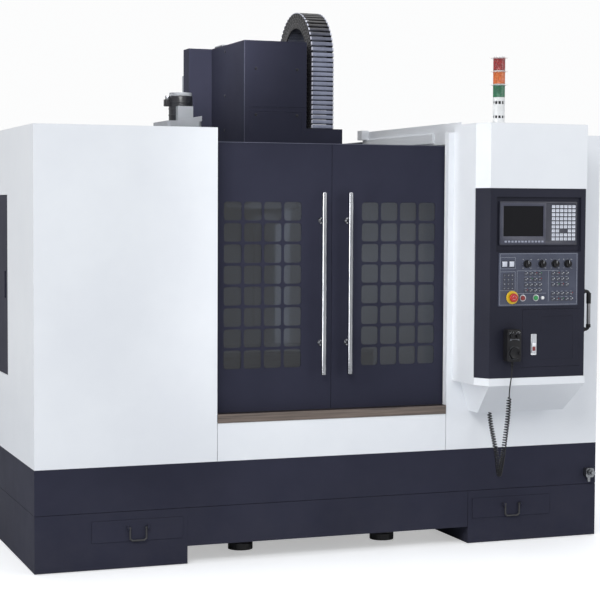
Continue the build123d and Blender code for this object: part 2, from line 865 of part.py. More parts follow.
def drawer_bail(x):
    y = bail_pivot_y()
    half = bail_width / 2 - bail_radius - 1
    low = pivot_z - bail_drop + bail_radius
    path = Polyline((x - half, y, pivot_z), (x - half, y, low + bail_corner), (x - half + bail_corner, y, low),
                    (x + half - bail_corner, y, low), (x + half, y, low + bail_corner), (x + half, y, pivot_z))
    bail = tube(path, bail_radius)
    for side in (-1, 1):
        inner = x + side * half
        outer = x + side * (bail_width / 2 + ear_thickness)
        bail += rod_x(bail_pin, min(inner, outer), max(inner, outer), y, pivot_z)
        bail += rod_x(bail_radius, inner - bail_radius, inner + bail_radius, y, pivot_z)
    return bail


# Enclosure
def left_cabinet():
    shell = block(left_end, opening_left, 0, cabinet_depth, base_top, cabinet_top)
    shell -= block(left_end + sheet, opening_left + 1, sheet, cabinet_depth - sheet,
                   base_top - 1, cabinet_top - sheet)
    shell += block(opening_left - sheet, opening_left, 0, door_front - 10, base_top, cabinet_top)
    rear_edge = gearbox_right - 15
    rear_foot = bed_deck + running_gap
    shell += block(opening_left, rear_edge, cabinet_depth - sheet, cabinet_depth, rear_foot, cabinet_top)
    # The sill and the track pass behind the front sheet
    shell -= block(opening_left - sheet - 1, opening_left + 1, sheet, door_front,
                   door_bottom - sheet - 1, door_bottom + running_gap)
    shell -= block(left_end - 1, left_end + sheet + 1, side_door_front - seam,
                   side_door_front + side_door_length + running_gap, side_door_bottom - seam,
                   side_door_top + seam)
    return shell


def right_cabinet():
    roof_left = opening_right + 65
    shell = block(opening_right, right_end, 0, cabinet_depth, base_top, cabinet_top)
    shell -= block(opening_right - 1, right_end - sheet, sheet, cabinet_depth - sheet,
                   base_top - 1, cabinet_top - sheet)
    shell -= block(opening_right - 1, roof_left, sheet, cabinet_depth - sheet, cabinet_top - 50, cabinet_top + 1)
    shell += block(opening_right, opening_right + sheet, 0, door_front - 10, base_top, cabinet_top)
    rear_edge = -gearbox_right + 15
    rear_foot = bed_deck + running_gap
    shell += block(rear_edge, opening_right, cabinet_depth - sheet, cabinet_depth, rear_foot, cabinet_top)
    shell -= block(opening_right - 1, opening_right + sheet + 1, sheet, door_front,
                   door_bottom - sheet - 1, door_bottom + running_gap)
    # A splash wall stands along the roof's inner edge, with a stiffening bar and a small box on it
    wall_rear = 1180.0
    shell += block(roof_left, roof_left + sheet, sheet, wall_rear, cabinet_top - 50, cabinet_top + 50)
    shell += block(roof_left - 10, roof_left, 300, wall_rear, cabinet_top - 40, cabinet_top + 6)
    shell += block(roof_left - 40, roof_left, wall_rear - 60, wall_rear, cabinet_top + 6, cabinet_top + 56)
    return shell


def front_apron():
    left = opening_left + seam
    right = opening_right - seam
    top = door_bottom - sill_front_height
    apron = block(left, right, 0, sheet, base_top, top)
    apron += block(left, right, 0, apron_flange, top - sheet, top)
    apron += block(left, right, 0, apron_flange, base_top, base_top + sheet)
    return apron


def door_sill():
    left = opening_left + seam
    right = opening_right - seam
    reach = door_opening / 2 - 20
    sill = block(left, right, -sheet, 0, door_bottom - sill_front_height - sill_lap, door_bottom)
    sill += block(left, right, -sheet, sill_rear, door_bottom - sheet, door_bottom)
    sill += block(opening_left - reach, opening_right + reach, sheet + 1, sill_rear,
                  door_bottom - sheet, door_bottom)
    sill += block(opening_left - reach, opening_right + reach, sill_rear - sheet, sill_rear,
                  door_bottom - 90, door_bottom)
    return sill


def door_track():
    rear = door_front + door_thickness + running_gap
    reach = door_opening / 2 - 20
    x0 = left_end + sheet
    x1 = right_end - sheet
    top = door_top - 6
    track = block(x0, x1, rear, rear + track_depth, top - track_height, top)
    track -= block(x0 - 1, x1 + 1, rear + sheet, rear + track_depth - sheet, top - track_height - 1,
                   top - sheet)
    return track


def pane_cell(x, z):
    reach = pane_size / 2 - pane_radius
    outline = []
    for corner in range(4):
        middle = math.radians(90 * corner + 45)
        corner_x = x + math.copysign(reach, math.cos(middle))
        corner_z = z + math.copysign(reach, math.sin(middle))
        for step in range(pane_corner_steps + 1):
            angle = math.radians(90 * corner + 90 * step / pane_corner_steps)
            outline.append((corner_x + pane_radius * math.cos(angle), corner_z + pane_radius * math.sin(angle)))
    return prism_y(outline, 0, door_thickness)


def pane_places(left):
    first_x = left + pane_size / 2
    first_z = panes_bottom + pane_size / 2
    return [(first_x + column * pane_pitch, first_z + row * pane_pitch)
            for column in range(pane_columns) for row in range(pane_rows)]


def sliding_door(x0, x1, panes_left):
    rear = door_front + door_thickness
    low = door_bottom + running_gap
    door = block(x0, x1, door_front, rear, low, door_top)
    door -= block(x0 + 24, x1 - 24, door_front + door_skin, rear + 1, low + 24, door_top - 24)
    cells = [Pos(0, door_front - 1, 0) * pane_cell(x, z) for x, z in pane_places(panes_left)]
    return door - cells


def door_window(panes_left):
    margin = 12.0
    right = panes_left + (pane_columns - 1) * pane_pitch + pane_size
    top = panes_bottom + (pane_rows - 1) * pane_pitch + pane_size
    glass_front = door_front + door_skin
    return block(panes_left - margin, right + margin, glass_front, glass_front + glass_thickness,
                 panes_bottom - margin, top + margin)


def door_handle(x):
    y = door_front - handle_standoff
    bar = rod_z(handle_radius, handle_bottom, handle_top, x, y)
    bar = chamfer(bar.edges(), 2)
    for z in (handle_post_low, handle_post_high):
        bar += rod_y(handle_post_radius, y, door_front - 5, x, z)
        bar += rod_y(handle_post_radius + 6, door_front - 5, door_front, x, z)
    return bar


def side_door():
    rear = side_door_front + side_door_length
    panel = block(left_end, left_end + side_door_thickness, side_door_front, rear,
                  side_door_bottom, side_door_top)
    panel -= block(left_end + sheet, left_end + side_door_thickness + 1, side_door_front + sheet,
                   rear - sheet, side_door_bottom + sheet, side_door_top - sheet)
    # A sunk finger pull near the free edge
    pull_z = (side_door_bottom + side_door_top) / 2
    cup = block(left_end, left_end + side_door_thickness - 4, side_door_front + 34,
                side_door_front + 74, pull_z - 65, pull_z + 65)
    panel += cup
    panel -= block(left_end - 1, left_end + side_door_thickness - 7, side_door_front + 37,
                   side_door_front + 71, pull_z - 62, pull_z + 62)
    return panel


def electrical_cabinet():
    half = electrics_width / 2
    rear = electrics_front + electrics_depth
    box = block(-half, half, electrics_front, rear, electrics_bottom, electrics_top)
    box -= block(-half + sheet, half - sheet, electrics_front + sheet, rear + 1,
                 electrics_bottom + sheet, electrics_top - sheet)
    # The mounting plate inside is bolted on, and three brackets go to the column
    seat = electrics_front + sheet + panel_fit
    plate = block(-half + plate_inset, half - plate_inset, seat, seat + 2 * sheet,
                  electrics_bottom + plate_inset, electrics_top - plate_inset)
    pieces = [box, plate]
    slope_top = column_shoulder - column_slope
    for wide, z in ((column_width, column_foot + 40), (column_width, slope_top - 60),
                    (column_spine, column_shoulder - 60)):
        pieces.append(block(-wide / 2, wide / 2, column_rear, electrics_front - panel_fit,
                            z, z + electrics_bracket))
    return Compound(pieces)


def electrical_door():
    half = electrics_width / 2
    front = electrics_front + electrics_depth + running_gap
    rear = front + electrics_door - running_gap
    leaf = block(-half, half, front, rear, electrics_bottom, electrics_top)
    leaf -= block(-half + sheet, half - sheet, front - 1, rear - sheet,
                  electrics_bottom + sheet, electrics_top - sheet)
    # Louvres and a bar handle
    for number in range(8):
        z = electrics_bottom + 150 + number * 34
        leaf += prism_x([(rear, z), (rear + 12, z), (rear, z + 22)], -half + 160, -half + 460)
    handle_z = (electrics_bottom + electrics_top) / 2
    for z in (handle_z - 70, handle_z + 70):
        leaf += rod_y(6, rear - 1, rear + electrics_handle - 6, half - 70, z)
    leaf += rod_z(6, handle_z - 76, handle_z + 76, half - 70, rear + electrics_handle - 6)
    return leaf


# Console
def pod_outline(inset, front, rear):
    chamfer_x = pod_chamfer_x
    corner_y = pod_front + pod_chamfer_y
    return [(pod_left + inset, rear), (pod_left + inset, corner_y + inset * 0.4),
            (pod_left + chamfer_x + inset * 0.6, front), (pod_right - inset, front), (pod_right - inset, rear)]


def console_pod():
    wall = sheet
    pod = prism_z(pod_outline(0, pod_front, 0), ledge_bottom, pod_top)
    wedge_left = pod_left + pod_chamfer_x
    wedge = prism_x([(pod_front, ledge_bottom), (wedge_rear, wedge_bottom), (0, wedge_bottom), (0, ledge_bottom)],
                    wedge_left, pod_right)
    wedge -= prism_y([(wedge_left - 1, ledge_bottom + 1), (wedge_left - 1, wedge_bottom - 1),
                      (wedge_left + wedge_taper, wedge_bottom - 1), (wedge_left, ledge_bottom + 1)],
                     pod_front - 1, 1)
    pod += wedge
    # The gland of the pendant's cord sits in the underside
    x, y = gland_place
    pod -= rod_z(gland_radius, wedge_bottom - 1, gland_seat, x, y)
    pod -= prism_z(pod_outline(wall, pod_front + wall, -wall), ledge_bottom + wall, pod_top - wall)
    # The bay of the console case
    pod -= block(pod_left - 1, pod_right + 1, pod_front - 1, case_rear, ledge_top, hood_bottom)
    pod += block(pod_left, pod_right, case_rear, case_rear + wall, ledge_top - wall, hood_bottom + wall)
    pod += prism_z(pod_outline(0, pod_front, case_rear), ledge_top - wall, ledge_top)
    pod += prism_z(pod_outline(0, pod_front, case_rear), hood_bottom, hood_bottom + wall)
    pod -= block(pod_left + 40, pod_right - 40, case_rear - 1, case_rear + wall + 1,
                 ledge_top + 20, hood_bottom - 20)
    return pod


def console_case():
    rear = case_rear
    outline = pod_outline(case_inset, case_front, rear)
    case = prism_z(outline, ledge_top, hood_bottom)
    hollow = pod_outline(case_inset + case_wall, case_front + case_wall + recess_depth, rear + 1)
    case -= prism_z(hollow, ledge_top + case_wall, hood_bottom - case_wall)
    case -= block(recess_left, recess_right, case_front - 1, case_front + recess_depth,
                  recess_bottom, recess_top)
    case -= block(hatch_left, hatch_right, case_front - 1, case_front + recess_depth + case_wall + 1,
                  hatch_bottom, hatch_top)
    # Hooks for the hand pendant
    hook_z = pendant_top - 40
    for side in (-1, 1):
        x = pendant_x + side * 18
        case += block(x - 4, x + 4, pendant_rear - 6, case_front, hook_z - 5, hook_z + 5)
    # Shafts of the buttons and knobs pass through the front
    for x in knob_places:
        case -= rod_y(hole_radius, case_front - 1, case_front + recess_depth + case_wall + 1, x, knob_z)
    case -= rod_y(stop_stem + 1, case_front - 1, case_front + recess_depth + case_wall + 1, stop_x, stop_z)
    for x in (hold_x, start_x):
        case -= rod_y(button_radius + 1, case_front - 1, case_front + recess_depth + case_wall + 1, x, button_z)
    return case


def key_grid(columns, rows, left, top, pitch_x, pitch_z, width, height, face, skip=()):
    keys = []
    for column in range(columns):
        for row in range(rows):
            if (column, row) in skip:
                continue
            x = left + column * pitch_x
            z = top - row * pitch_z
            keys.append(block(x, x + width, face - key_height, face + 0.5, z - height, z))
    return keys


def cnc_face():
    return case_front + recess_depth - cnc_thickness


def cnc_unit():
    face = cnc_face()
    unit = block(cnc_left, cnc_left + cnc_width, face, case_front + recess_depth, cnc_bottom, cnc_bottom + cnc_height)
    unit = fillet(unit.edges().filter_by(Axis.Y), 5)
    unit -= block(screen_left, screen_left + screen_width, face - 1, face + screen_recess,
                  screen_bottom, screen_bottom + screen_height)
    keys = key_grid(soft_key_count, 1, cnc_left + soft_keys_inset, cnc_bottom + soft_key_rise, soft_key_pitch,
                    soft_key_height, soft_key_width, soft_key_height, face)
    keys += key_grid(key_grid_columns, key_grid_rows, cnc_left + key_columns_inset,
                     cnc_bottom + cnc_height - key_grid_drop, key_pitch_x, key_pitch_z, key_size + 2,
                     key_size - 1, face, skip=((2, 6), (3, 6)))
    return unit + keys


def screen_pane():
    face = cnc_face() + screen_recess - screen_glass
    return block(screen_left, screen_left + screen_width, face, face + screen_glass,
                 screen_bottom, screen_bottom + screen_height)


def operator_panel():
    face = case_front - panel_thickness
    panel = block(panel_left, panel_right, face, case_front, panel_bottom, panel_top)
    panel = fillet(panel.edges().filter_by(Axis.Y), 4)
    keys = []
    for columns, rows, (inset, drop, pitch_x, pitch_z) in zip(key_columns, key_rows, key_blocks):
        keys += key_grid(columns, rows, panel_left + inset, panel_top - drop, pitch_x, pitch_z,
                         pitch_x - key_spacing, key_size, face)
    panel += keys
    panel += rod_y(button_radius - 3, face - 4, face + 1, lamp_x, button_z)
    for inset in rocker_insets:
        x = panel_left + inset
        panel += block(x - rocker_width / 2, x + rocker_width / 2, face - 5, face + 1,
                       knob_z - rocker_height / 2, knob_z + rocker_height / 2)
    for x in knob_places:
        panel -= rod_y(hole_radius, face - 1, case_front + 1, x, knob_z)
    panel -= rod_y(stop_stem + 1, face - 1, case_front + 1, stop_x, stop_z)
    for x in (hold_x, start_x):
        panel -= rod_y(button_radius + running_gap, face - 1, case_front + 1, x, button_z)
    return panel


def override_knob(x):
    face = case_front - panel_thickness - running_gap
    knob = rod_y(knob_skirt, face - 4, face, x, knob_z)
    knob += rod_y(knob_radius, face - knob_height, face - 4, x, knob_z)
    knob += rod_y(hole_radius - bail_clearance, face, case_front + shaft_tail, x, knob_z)
    # The grip bar shows where the knob points
    knob += block(x - 3, x + 3, face - knob_height - 3, face - 4, knob_z - knob_radius + 1, knob_z + knob_skirt - 1)
    return knob


def stop_collar_ring():
    face = case_front - panel_thickness
    ring = rod_y(stop_collar, face - 5, face, stop_x, stop_z)
    ring = chamfer(ring.edges().group_by(Axis.Y)[0], 2)
    return ring - rod_y(stop_stem + running_gap, face - 6, face + 1, stop_x, stop_z)


def stop_button():
    face = case_front - panel_thickness - 5 - stop_travel - 1
    button = rod_y(stop_stem, face, case_front + shaft_tail, stop_x, stop_z)
    cap = rod_y(stop_cap, face - 14, face, stop_x, stop_z)
    cap = chamfer(cap.edges().group_by(Axis.Y)[0], 5)
    return button + cap


def push_button(x):
    face = case_front - panel_thickness
    return rod_y(button_radius, face - button_height, case_front + shaft_tail, x, button_z)


def console_hatch():
    front = case_front
    leaf = block(hatch_left + hatch_gap, hatch_right - running_gap, front, front + hatch_thickness,
                 hatch_bottom + hatch_gap, hatch_top - hatch_gap)
    frame = 34.0
    leaf -= block(latch_x + frame, hatch_right - frame, front - 1, front + 1.2,
                  hatch_bottom + frame, hatch_top - frame)
    # The latch plate, with two ears for the paddle's pin
    leaf += block(latch_x - latch_width / 2, latch_x + latch_width / 2, front - 2, front,
                  latch_z - latch_height / 2, latch_z + latch_height / 2)
    return leaf


def latch_paddle():
    front = console_hatch_face()
    return block(latch_x - latch_width / 2 + 4, latch_x + latch_width / 2 - 4, front - 4, front,
                 latch_z - latch_height / 2 + 6, latch_z + latch_height / 2 - 30)


def console_hatch_face():
    return case_front - 2 - running_gap


def grab_handle():
    x = pod_right + grab_reach
    path = FilletPolyline((pod_right, grab_y, grab_bottom + 12), (x, grab_y, grab_bottom + 12),
                          (x, grab_y, grab_top - 12), (pod_right, grab_y, grab_top - 12), radius=16)
    bar = tube(path, grab_radius)
    for z in (grab_bottom + 12, grab_top - 12):
        bar += rod_x(grab_radius + 5, pod_right - case_inset, pod_right + 6, grab_y, z)
    return bar


# Hand pendant
def pendant_box():
    half = pendant_width / 2
    box = block(pendant_x - half, pendant_x + half, pendant_front, pendant_rear, pendant_bottom, pendant_top)
    box = fillet(box.edges().filter_by(Axis.Y), 9)
    box = fillet(box.edges().group_by(Axis.Y)[0], 3)
    # Slots on its back take the two hooks
    hook_z = pendant_top - 40
    for side in (-1, 1):
        x = pendant_x + side * 18
        box -= block(x - 5, x + 5, pendant_rear - 8, pendant_rear + 1, hook_z - 10, hook_z + 5)
    box += rod_z(relief_radius, pendant_bottom - relief_length, pendant_bottom + 2, pendant_x, pendant_middle())
    return box


def pendant_middle():
    return (pendant_front + pendant_rear) / 2


def wheel_z():
    return pendant_bottom + 40


def pendant_wheel():
    face = pendant_front - running_gap
    wheel = rod_y(wheel_radius, face - wheel_height, face, pendant_x, wheel_z())
    wheel = chamfer(wheel.edges().group_by(Axis.Y)[0], 2.5)
    handle_z = wheel_z() + wheel_radius - 9
    wheel += rod_y(crank_radius, front_reach, face - wheel_height + 1, pendant_x, handle_z)
    return wheel


def pendant_selector(x):
    face = pendant_front - running_gap
    z = pendant_top - 28
    knob = rod_y(selector_radius, face - selector_height, face, x, z)
    knob += block(x - 1.6, x + 1.6, face - selector_height - 2, face - 2, z, z + selector_radius + 1)
    return knob


# The pendant's cord hangs in a long loop and ends in a gland under the console
lead_points = [(749.0, -328.0, 867.0), (748.4, -327.0, 842.0), (744.8, -323.0, 806.0),
               (741.8, -319.4, 770.0), (741.0, -318.0, 738.0)]
coil_points = [(741.0, -318.0, 738.0), (739.8, -316.2, 690.0), (736.6, -314.4, 634.0),
               (731.0, -309.0, 574.0), (729.0, -298.0, 514.0), (730.4, -281.0, 459.0),
               (737.0, -252.0, 406.0), (751.0, -214.0, 367.0), (769.0, -172.0, 353.0),
               (782.0, -137.0, 380.0), (788.0, -113.0, 428.0), (784.0, -96.0, 485.0),
               (778.0, -81.0, 543.0), (773.4, -66.0, 598.0), (772.0, -60.0, 640.0)]
gland_place = (772.0, -60.0)
gland_bottom = 640.0
gland_seat = 690.0


# Each corner's arc is as large as its two runs allow
def cord_radii(points):
    radii = []
    for before, corner, after in zip(points, points[1:], points[2:]):
        run_in = Vector(*corner) - Vector(*before)
        run_out = Vector(*after) - Vector(*corner)
        turn = math.radians(run_in.get_angle(run_out))
        radii.append(0.45 * min(run_in.length, run_out.length) / math.tan(turn / 2))
    return radii


def cord_tube(points, radius):
    radii = cord_radii(points)
    print("cord radii:", [round(value) for value in radii])
    path = FilletPolyline(*points, radius=radii)
    cord = tube(path, radius)
    print("cord length", round(path.length), "volume ratio",
          round(cord.volume / (math.pi * radius ** 2 * path.length), 4))
    return cord


def cord_gland():
    x, y = gland_place
    gland = rod_z(gland_radius, gland_bottom, gland_seat, x, y)
    return chamfer(gland.edges().group_by(Axis.Z)[0], 2)


# Signal tower
def lens_bottom(number):
    return pod_top + tower_stem_height + number * (lens_height + lens_ring)


def tower_stem():
    foot = pod_top
    stem = rod_z(tower_foot_radius, foot, foot + 12, tower_x, tower_y)
    stem = chamfer(stem.edges().group_by(Axis.Z)[-1], 6)
    stem += rod_z(tower_radius, foot + 12, foot + tower_stem_height, tower_x, tower_y)
    top = lens_bottom(lens_count) - lens_ring
    core = 9.0
    stem += rod_z(core, foot + tower_stem_height, top, tower_x, tower_y)
    for number in range(1, lens_count):
        z = lens_bottom(number)
        stem += rod_z(tower_radius - 1, z - lens_ring, z, tower_x, tower_y)
    cap = rod_z(tower_radius - 1, top, top + tower_cap, tower_x, tower_y)
    return stem + chamfer(cap.edges().group_by(Axis.Z)[-1], 7)


def tower_lens(number):
    z = lens_bottom(number)
    lens = rod_z(tower_radius, z, z + lens_height, tower_x, tower_y)
    return lens - rod_z(tower_radius - 4, z - 1, z + lens_height + 1, tower_x, tower_y)


def air_coupling():
    body = block(coupling_x - 22, coupling_x + 22, -30, 0, coupling_z - 22, coupling_z + 22)
    body = chamfer(body.edges().filter_by(Axis.Y), 6)
    body += rod_y(11, -62, -30, coupling_x, coupling_z + 4)
    body += rod_y(15, -46, -36, coupling_x, coupling_z + 4)
    body += rod_z(8, coupling_z - 44, coupling_z - 20, coupling_x, -16)
    return body


def all_nodes():
    doors_left = (opening_left - door_overlap, door_meet - seam / 2)
    doors_right = (door_meet + seam / 2, opening_right + door_overlap)
    nodes = {
        "bed_casting": bed_casting(),
        "column_casting": column_casting(),
        "levelling_feet": levelling_feet(),
        "base_pan": base_pan(),
        "base_plinth": base_plinth(),
        "left_cabinet": left_cabinet(),
        "right_cabinet": right_cabinet(),
        "front_apron": front_apron(),
        "door_sill": door_sill(),
        "door_track": door_track(),
        "electrical_cabinet": electrical_cabinet(),
        "electrical_door": electrical_door(),
        "saddle": saddle(),
        "table": table(),
        "head_casting": head_casting(),
        "spindle": spindle(),
        "spindle_motor": spindle_motor(),
        "head_cover": head_cover(),
        "energy_chain": energy_chain(),
        "magazine_gearbox": magazine_gearbox(),
        "magazine_disc": magazine_disc(),
        "left_door": sliding_door(*doors_left, left_panes_x),
        "right_door": sliding_door(*doors_right, right_panes_x),
        "left_window": door_window(left_panes_x),
        "right_window": door_window(right_panes_x),
        "left_door_handle": door_handle(left_handle_x),
        "right_door_handle": door_handle(right_handle_x),
        "side_door": side_door(),
        "console_pod": console_pod(),
        "console_case": console_case(),
        "cnc_unit": cnc_unit(),
        "screen_pane": screen_pane(),
        "operator_panel": operator_panel(),
        "stop_collar": stop_collar_ring(),
        "stop_button": stop_button(),
        "hold_button": push_button(hold_x),
        "start_button": push_button(start_x),
        "console_hatch": console_hatch(),
        "latch_paddle": latch_paddle(),
        "grab_handle": grab_handle(),
        "pendant_box": pendant_box(),
        "pendant_wheel": pendant_wheel(),
        "pendant_axis_knob": pendant_selector(pendant_x - 16),
        "pendant_rate_knob": pendant_selector(pendant_x + 16),
        "cord_lead": cord_tube(lead_points, lead_radius),
        "cord_coil": cord_tube(coil_points, coil_radius),
        "cord_gland": cord_gland(),
        "tower_stem": tower_stem(),
        "air_coupling": air_coupling(),
    }
    for number, colour in enumerate(("green", "amber", "red")):
        nodes["tower_lens_" + colour] = tower_lens(number)
    for number, x in enumerate(knob_places, start=1):
        nodes["override_knob_" + str(number)] = override_knob(x)
    for side, x in drawer_places().items():
        nodes["drawer_" + side] = drawer(x)
        nodes["drawer_bail_" + side] = drawer_bail(x)
    return nodes


# The origin is the middle of the footprint, on the floor
os.makedirs("parts", exist_ok=True)
for name, shape in all_nodes().items():
    export_step(Pos(-middle_x, -middle_y, 0) * shape, os.path.join("parts", name + ".step"))
print("origin moved by", round(middle_x, 3), round(middle_y, 3))
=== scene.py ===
import bpy
import math
from mathutils import Matrix, Vector


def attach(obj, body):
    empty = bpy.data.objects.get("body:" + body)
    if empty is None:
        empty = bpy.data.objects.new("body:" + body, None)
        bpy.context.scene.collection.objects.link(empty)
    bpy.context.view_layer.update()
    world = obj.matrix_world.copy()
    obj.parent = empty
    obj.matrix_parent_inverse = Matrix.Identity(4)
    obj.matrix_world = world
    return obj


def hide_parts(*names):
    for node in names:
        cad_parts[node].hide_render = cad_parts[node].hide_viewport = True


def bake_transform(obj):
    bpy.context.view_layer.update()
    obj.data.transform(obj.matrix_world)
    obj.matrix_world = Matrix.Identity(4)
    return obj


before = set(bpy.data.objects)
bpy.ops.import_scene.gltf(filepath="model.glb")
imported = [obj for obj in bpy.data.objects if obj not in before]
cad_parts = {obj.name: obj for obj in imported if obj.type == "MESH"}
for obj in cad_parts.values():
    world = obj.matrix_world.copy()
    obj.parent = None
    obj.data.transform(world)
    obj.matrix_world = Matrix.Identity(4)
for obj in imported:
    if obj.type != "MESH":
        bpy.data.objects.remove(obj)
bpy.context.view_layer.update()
middleY = 959.0  # the machine's own zero is at the enclosure's front


def spot(x, y, z):
    return Vector((x, y - middleY, z)) / 1000  # millimetres on the machine to metres in the frame


def take(values, *keys):
    return (values[key] for key in keys)


def placeAt(x, y, z):
    return Matrix.Translation(spot(x, y, z))


def shade(red, green, blue):
    def linear(value):
        value = value / 255
        return value / 12.92 if value <= 0.04045 else ((value + 0.055) / 1.055) ** 2.4
    return (linear(red), linear(green), linear(blue), 1.0)


# Camera, at the photograph's place
cameraSet = {"place": (-2.8185, -8.063, 1.5951), "turn": -20.4894, "dip": 3.1601, "tilt": 0.2778,
             "lens": 100.2}
cameraData = bpy.data.cameras.new("camera")
cameraData.lens = cameraSet["lens"]
cameraData.sensor_width = 36
cameraData.clip_end = 200
camera = bpy.data.objects.new("camera", cameraData)
bpy.context.scene.collection.objects.link(camera)
turnCamera = Matrix.Rotation(math.radians(cameraSet["turn"]), 4, "Z")
turnCamera = turnCamera @ Matrix.Rotation(math.radians(90 - cameraSet["dip"]), 4, "X")
turnCamera = turnCamera @ Matrix.Rotation(math.radians(cameraSet["tilt"]), 4, "Z")
camera.matrix_world = Matrix.Translation(cameraSet["place"]) @ turnCamera
bpy.context.scene.camera = camera
bpy.context.scene.view_settings.view_transform = "Standard"
print("camera placed")


# Picking and shaping helpers
def pickOnly(*objs):
    bpy.ops.object.select_all(action="DESELECT")
    for obj in objs:
        obj.select_set(True)
    bpy.context.view_layer.objects.active = objs[0]


def pickFaces(obj, test):
    pickOnly(obj)
    bpy.ops.object.mode_set(mode="EDIT")
    bpy.ops.mesh.select_mode(type="FACE")
    bpy.ops.mesh.select_all(action="DESELECT")
    bpy.ops.object.mode_set(mode="OBJECT")
    for face in obj.data.polygons:
        face.select = bool(test(face.center, face.normal))
    bpy.ops.object.mode_set(mode="EDIT")


def pickEdges(obj, test):
    pickOnly(obj)
    bpy.ops.object.mode_set(mode="EDIT")
    bpy.ops.mesh.select_mode(type="EDGE")
    bpy.ops.mesh.select_all(action="DESELECT")
    bpy.ops.object.mode_set(mode="OBJECT")
    for edge in obj.data.edges:
        ends = [obj.data.vertices[i].co for i in edge.vertices]
        edge.select = bool(test(ends[0], ends[1]))
    bpy.ops.object.mode_set(mode="EDIT")


def leaveEdit():
    bpy.ops.object.mode_set(mode="OBJECT")


def facesFront(centre, normal):
    return normal.y < -0.9


def facesUp(centre, normal):
    return normal.z > 0.9


def runsDeep(least):
    return lambda first, second: abs(first.y - second.y) > least


def bevelPicked(obj, pick, test, offset, segments):
    pick(obj, test)
    bpy.ops.mesh.bevel(offset=offset, segments=segments, affect="EDGES")
    leaveEdit()


def insetFaces(obj, test, *steps):
    pickFaces(obj, test)
    for thickness, move in steps:
        bpy.ops.mesh.inset(thickness=thickness)
        if move:
            bpy.ops.transform.translate(value=move)
    leaveEdit()


def cutFlutes(obj, centre, count, across, thickness, depth):
    along = "y" if across == "z" else "z"

    def inFlute(place, normal):
        turn = math.atan2(getattr(place, across) - getattr(centre, across), place.x - centre.x) / math.pi
        return abs(getattr(normal, along)) < 0.1 and int(turn * count + 400) % 2

    pickFaces(obj, inFlute)
    bpy.ops.mesh.inset(thickness=thickness, use_individual=True)
    bpy.ops.transform.shrink_fatten(value=-depth)
    leaveEdit()


def smoothOver(obj, limit=38):
    pickOnly(obj)
    bpy.ops.object.shade_smooth_by_angle(angle=math.radians(limit))
    return obj


def startBox(name, low, high):
    bpy.ops.object.select_all(action="DESELECT")
    middle = (Vector(low) + Vector(high)) / 2
    bpy.ops.mesh.primitive_cube_add(size=1, location=middle, scale=Vector(high) - Vector(low))
    obj = bpy.context.active_object
    obj.name = name
    bpy.ops.object.transform_apply(location=True, rotation=True, scale=True)
    return obj


def startRound(name, place, radius, depth, axis="Y", sides=32):
    bpy.ops.object.select_all(action="DESELECT")
    turns = {"X": (0, math.pi / 2, 0), "Y": (math.pi / 2, 0, 0), "Z": (0, 0, 0)}
    bpy.ops.mesh.primitive_cylinder_add(vertices=sides, radius=radius, depth=depth, location=place,
                                        rotation=turns[axis])
    obj = bpy.context.active_object
    obj.name = name
    bpy.ops.object.transform_apply(location=True, rotation=True, scale=True)
    return obj


def roundEdges(obj, width, segments=2, limit=30, finish=None):
    pickOnly(obj)
    bevel = obj.modifiers.new("roundEdges", "BEVEL")
    bevel.width = width
    bevel.segments = segments
    bevel.limit_method = "ANGLE"
    bevel.angle_limit = math.radians(limit)
    bevel.miter_outer = "MITER_ARC"
    bpy.ops.object.modifier_apply(modifier="roundEdges")
    smoothOver(obj)
    return dress(obj, finish) if finish else obj


def copyPiece(obj, matrix):
    new = obj.copy()
    new.data = obj.data.copy()
    bpy.context.scene.collection.objects.link(new)
    new.data.transform(matrix)
    return new


def joinPieces(name, objs):
    pickOnly(*objs)
    if len(objs) > 1:
        bpy.ops.object.join()
    obj = bpy.context.active_object
    obj.name = name
    obj.data.name = name
    return obj


def dress(obj, finish):
    obj.data.materials.clear()
    obj.data.materials.append(paints[finish] if isinstance(finish, str) else finish)
    return obj


# Shader nodes and the groups made of them, which give colours, masks, roughness and heights
def addNode(tree, kind, **values):
    node = tree.nodes.new(kind)
    for key, value in values.items():
        setattr(node, key, value)
    return node


def feed(tree, socket, value):
    if isinstance(value, (int, float, tuple)):
        socket.default_value = value
    else:
        tree.links.new(value, socket)


def feedAll(tree, node, **values):
    for label, value in values.items():
        feed(tree, node.inputs[label.replace("_", " ")], value)
    return node


# Each input is given its kind, or a number where it is a value of its own
def newGroup(name, inputs, outputs):
    tree = bpy.data.node_groups.new(name, "ShaderNodeTree")
    for label, value in inputs.items():
        kind = value if isinstance(value, str) else "Float"
        socket = tree.interface.new_socket(label, in_out="INPUT", socket_type="NodeSocket" + kind)
        if kind == "Float":
            socket.default_value = value
    for label in outputs:
        kind = "Color" if label == "Color" else "Float"
        tree.interface.new_socket(label, in_out="OUTPUT", socket_type="NodeSocket" + kind)
    return tree, tree.nodes.new("NodeGroupInput").outputs, tree.nodes.new("NodeGroupOutput")


def noiseIn(tree, vector, scale, detail, rough):
    node = addNode(tree, "ShaderNodeTexNoise")
    feedAll(tree, node, Vector=vector, Scale=scale, Detail=detail, Roughness=rough)
    return node.outputs["Fac"]


def spread(tree, value, low, high, outLow=0.0, outHigh=1.0):
    node = addNode(tree, "ShaderNodeMapRange")
    feedAll(tree, node, Value=value, From_Min=low, From_Max=high, To_Min=outLow, To_Max=outHigh)
    return node.outputs["Result"]


def sums(tree, kind, first, second):
    node = addNode(tree, "ShaderNodeMath", operation=kind)
    feed(tree, node.inputs[0], first)
    feed(tree, node.inputs[1], second)
    return node.outputs[0]


def mixColours(tree, factor, first, second):
    node = addNode(tree, "ShaderNodeMix", data_type="RGBA")
    for index, value in ((0, factor), (6, first), (7, second)):
        feed(tree, node.inputs[index], value)
    return node.outputs[2]


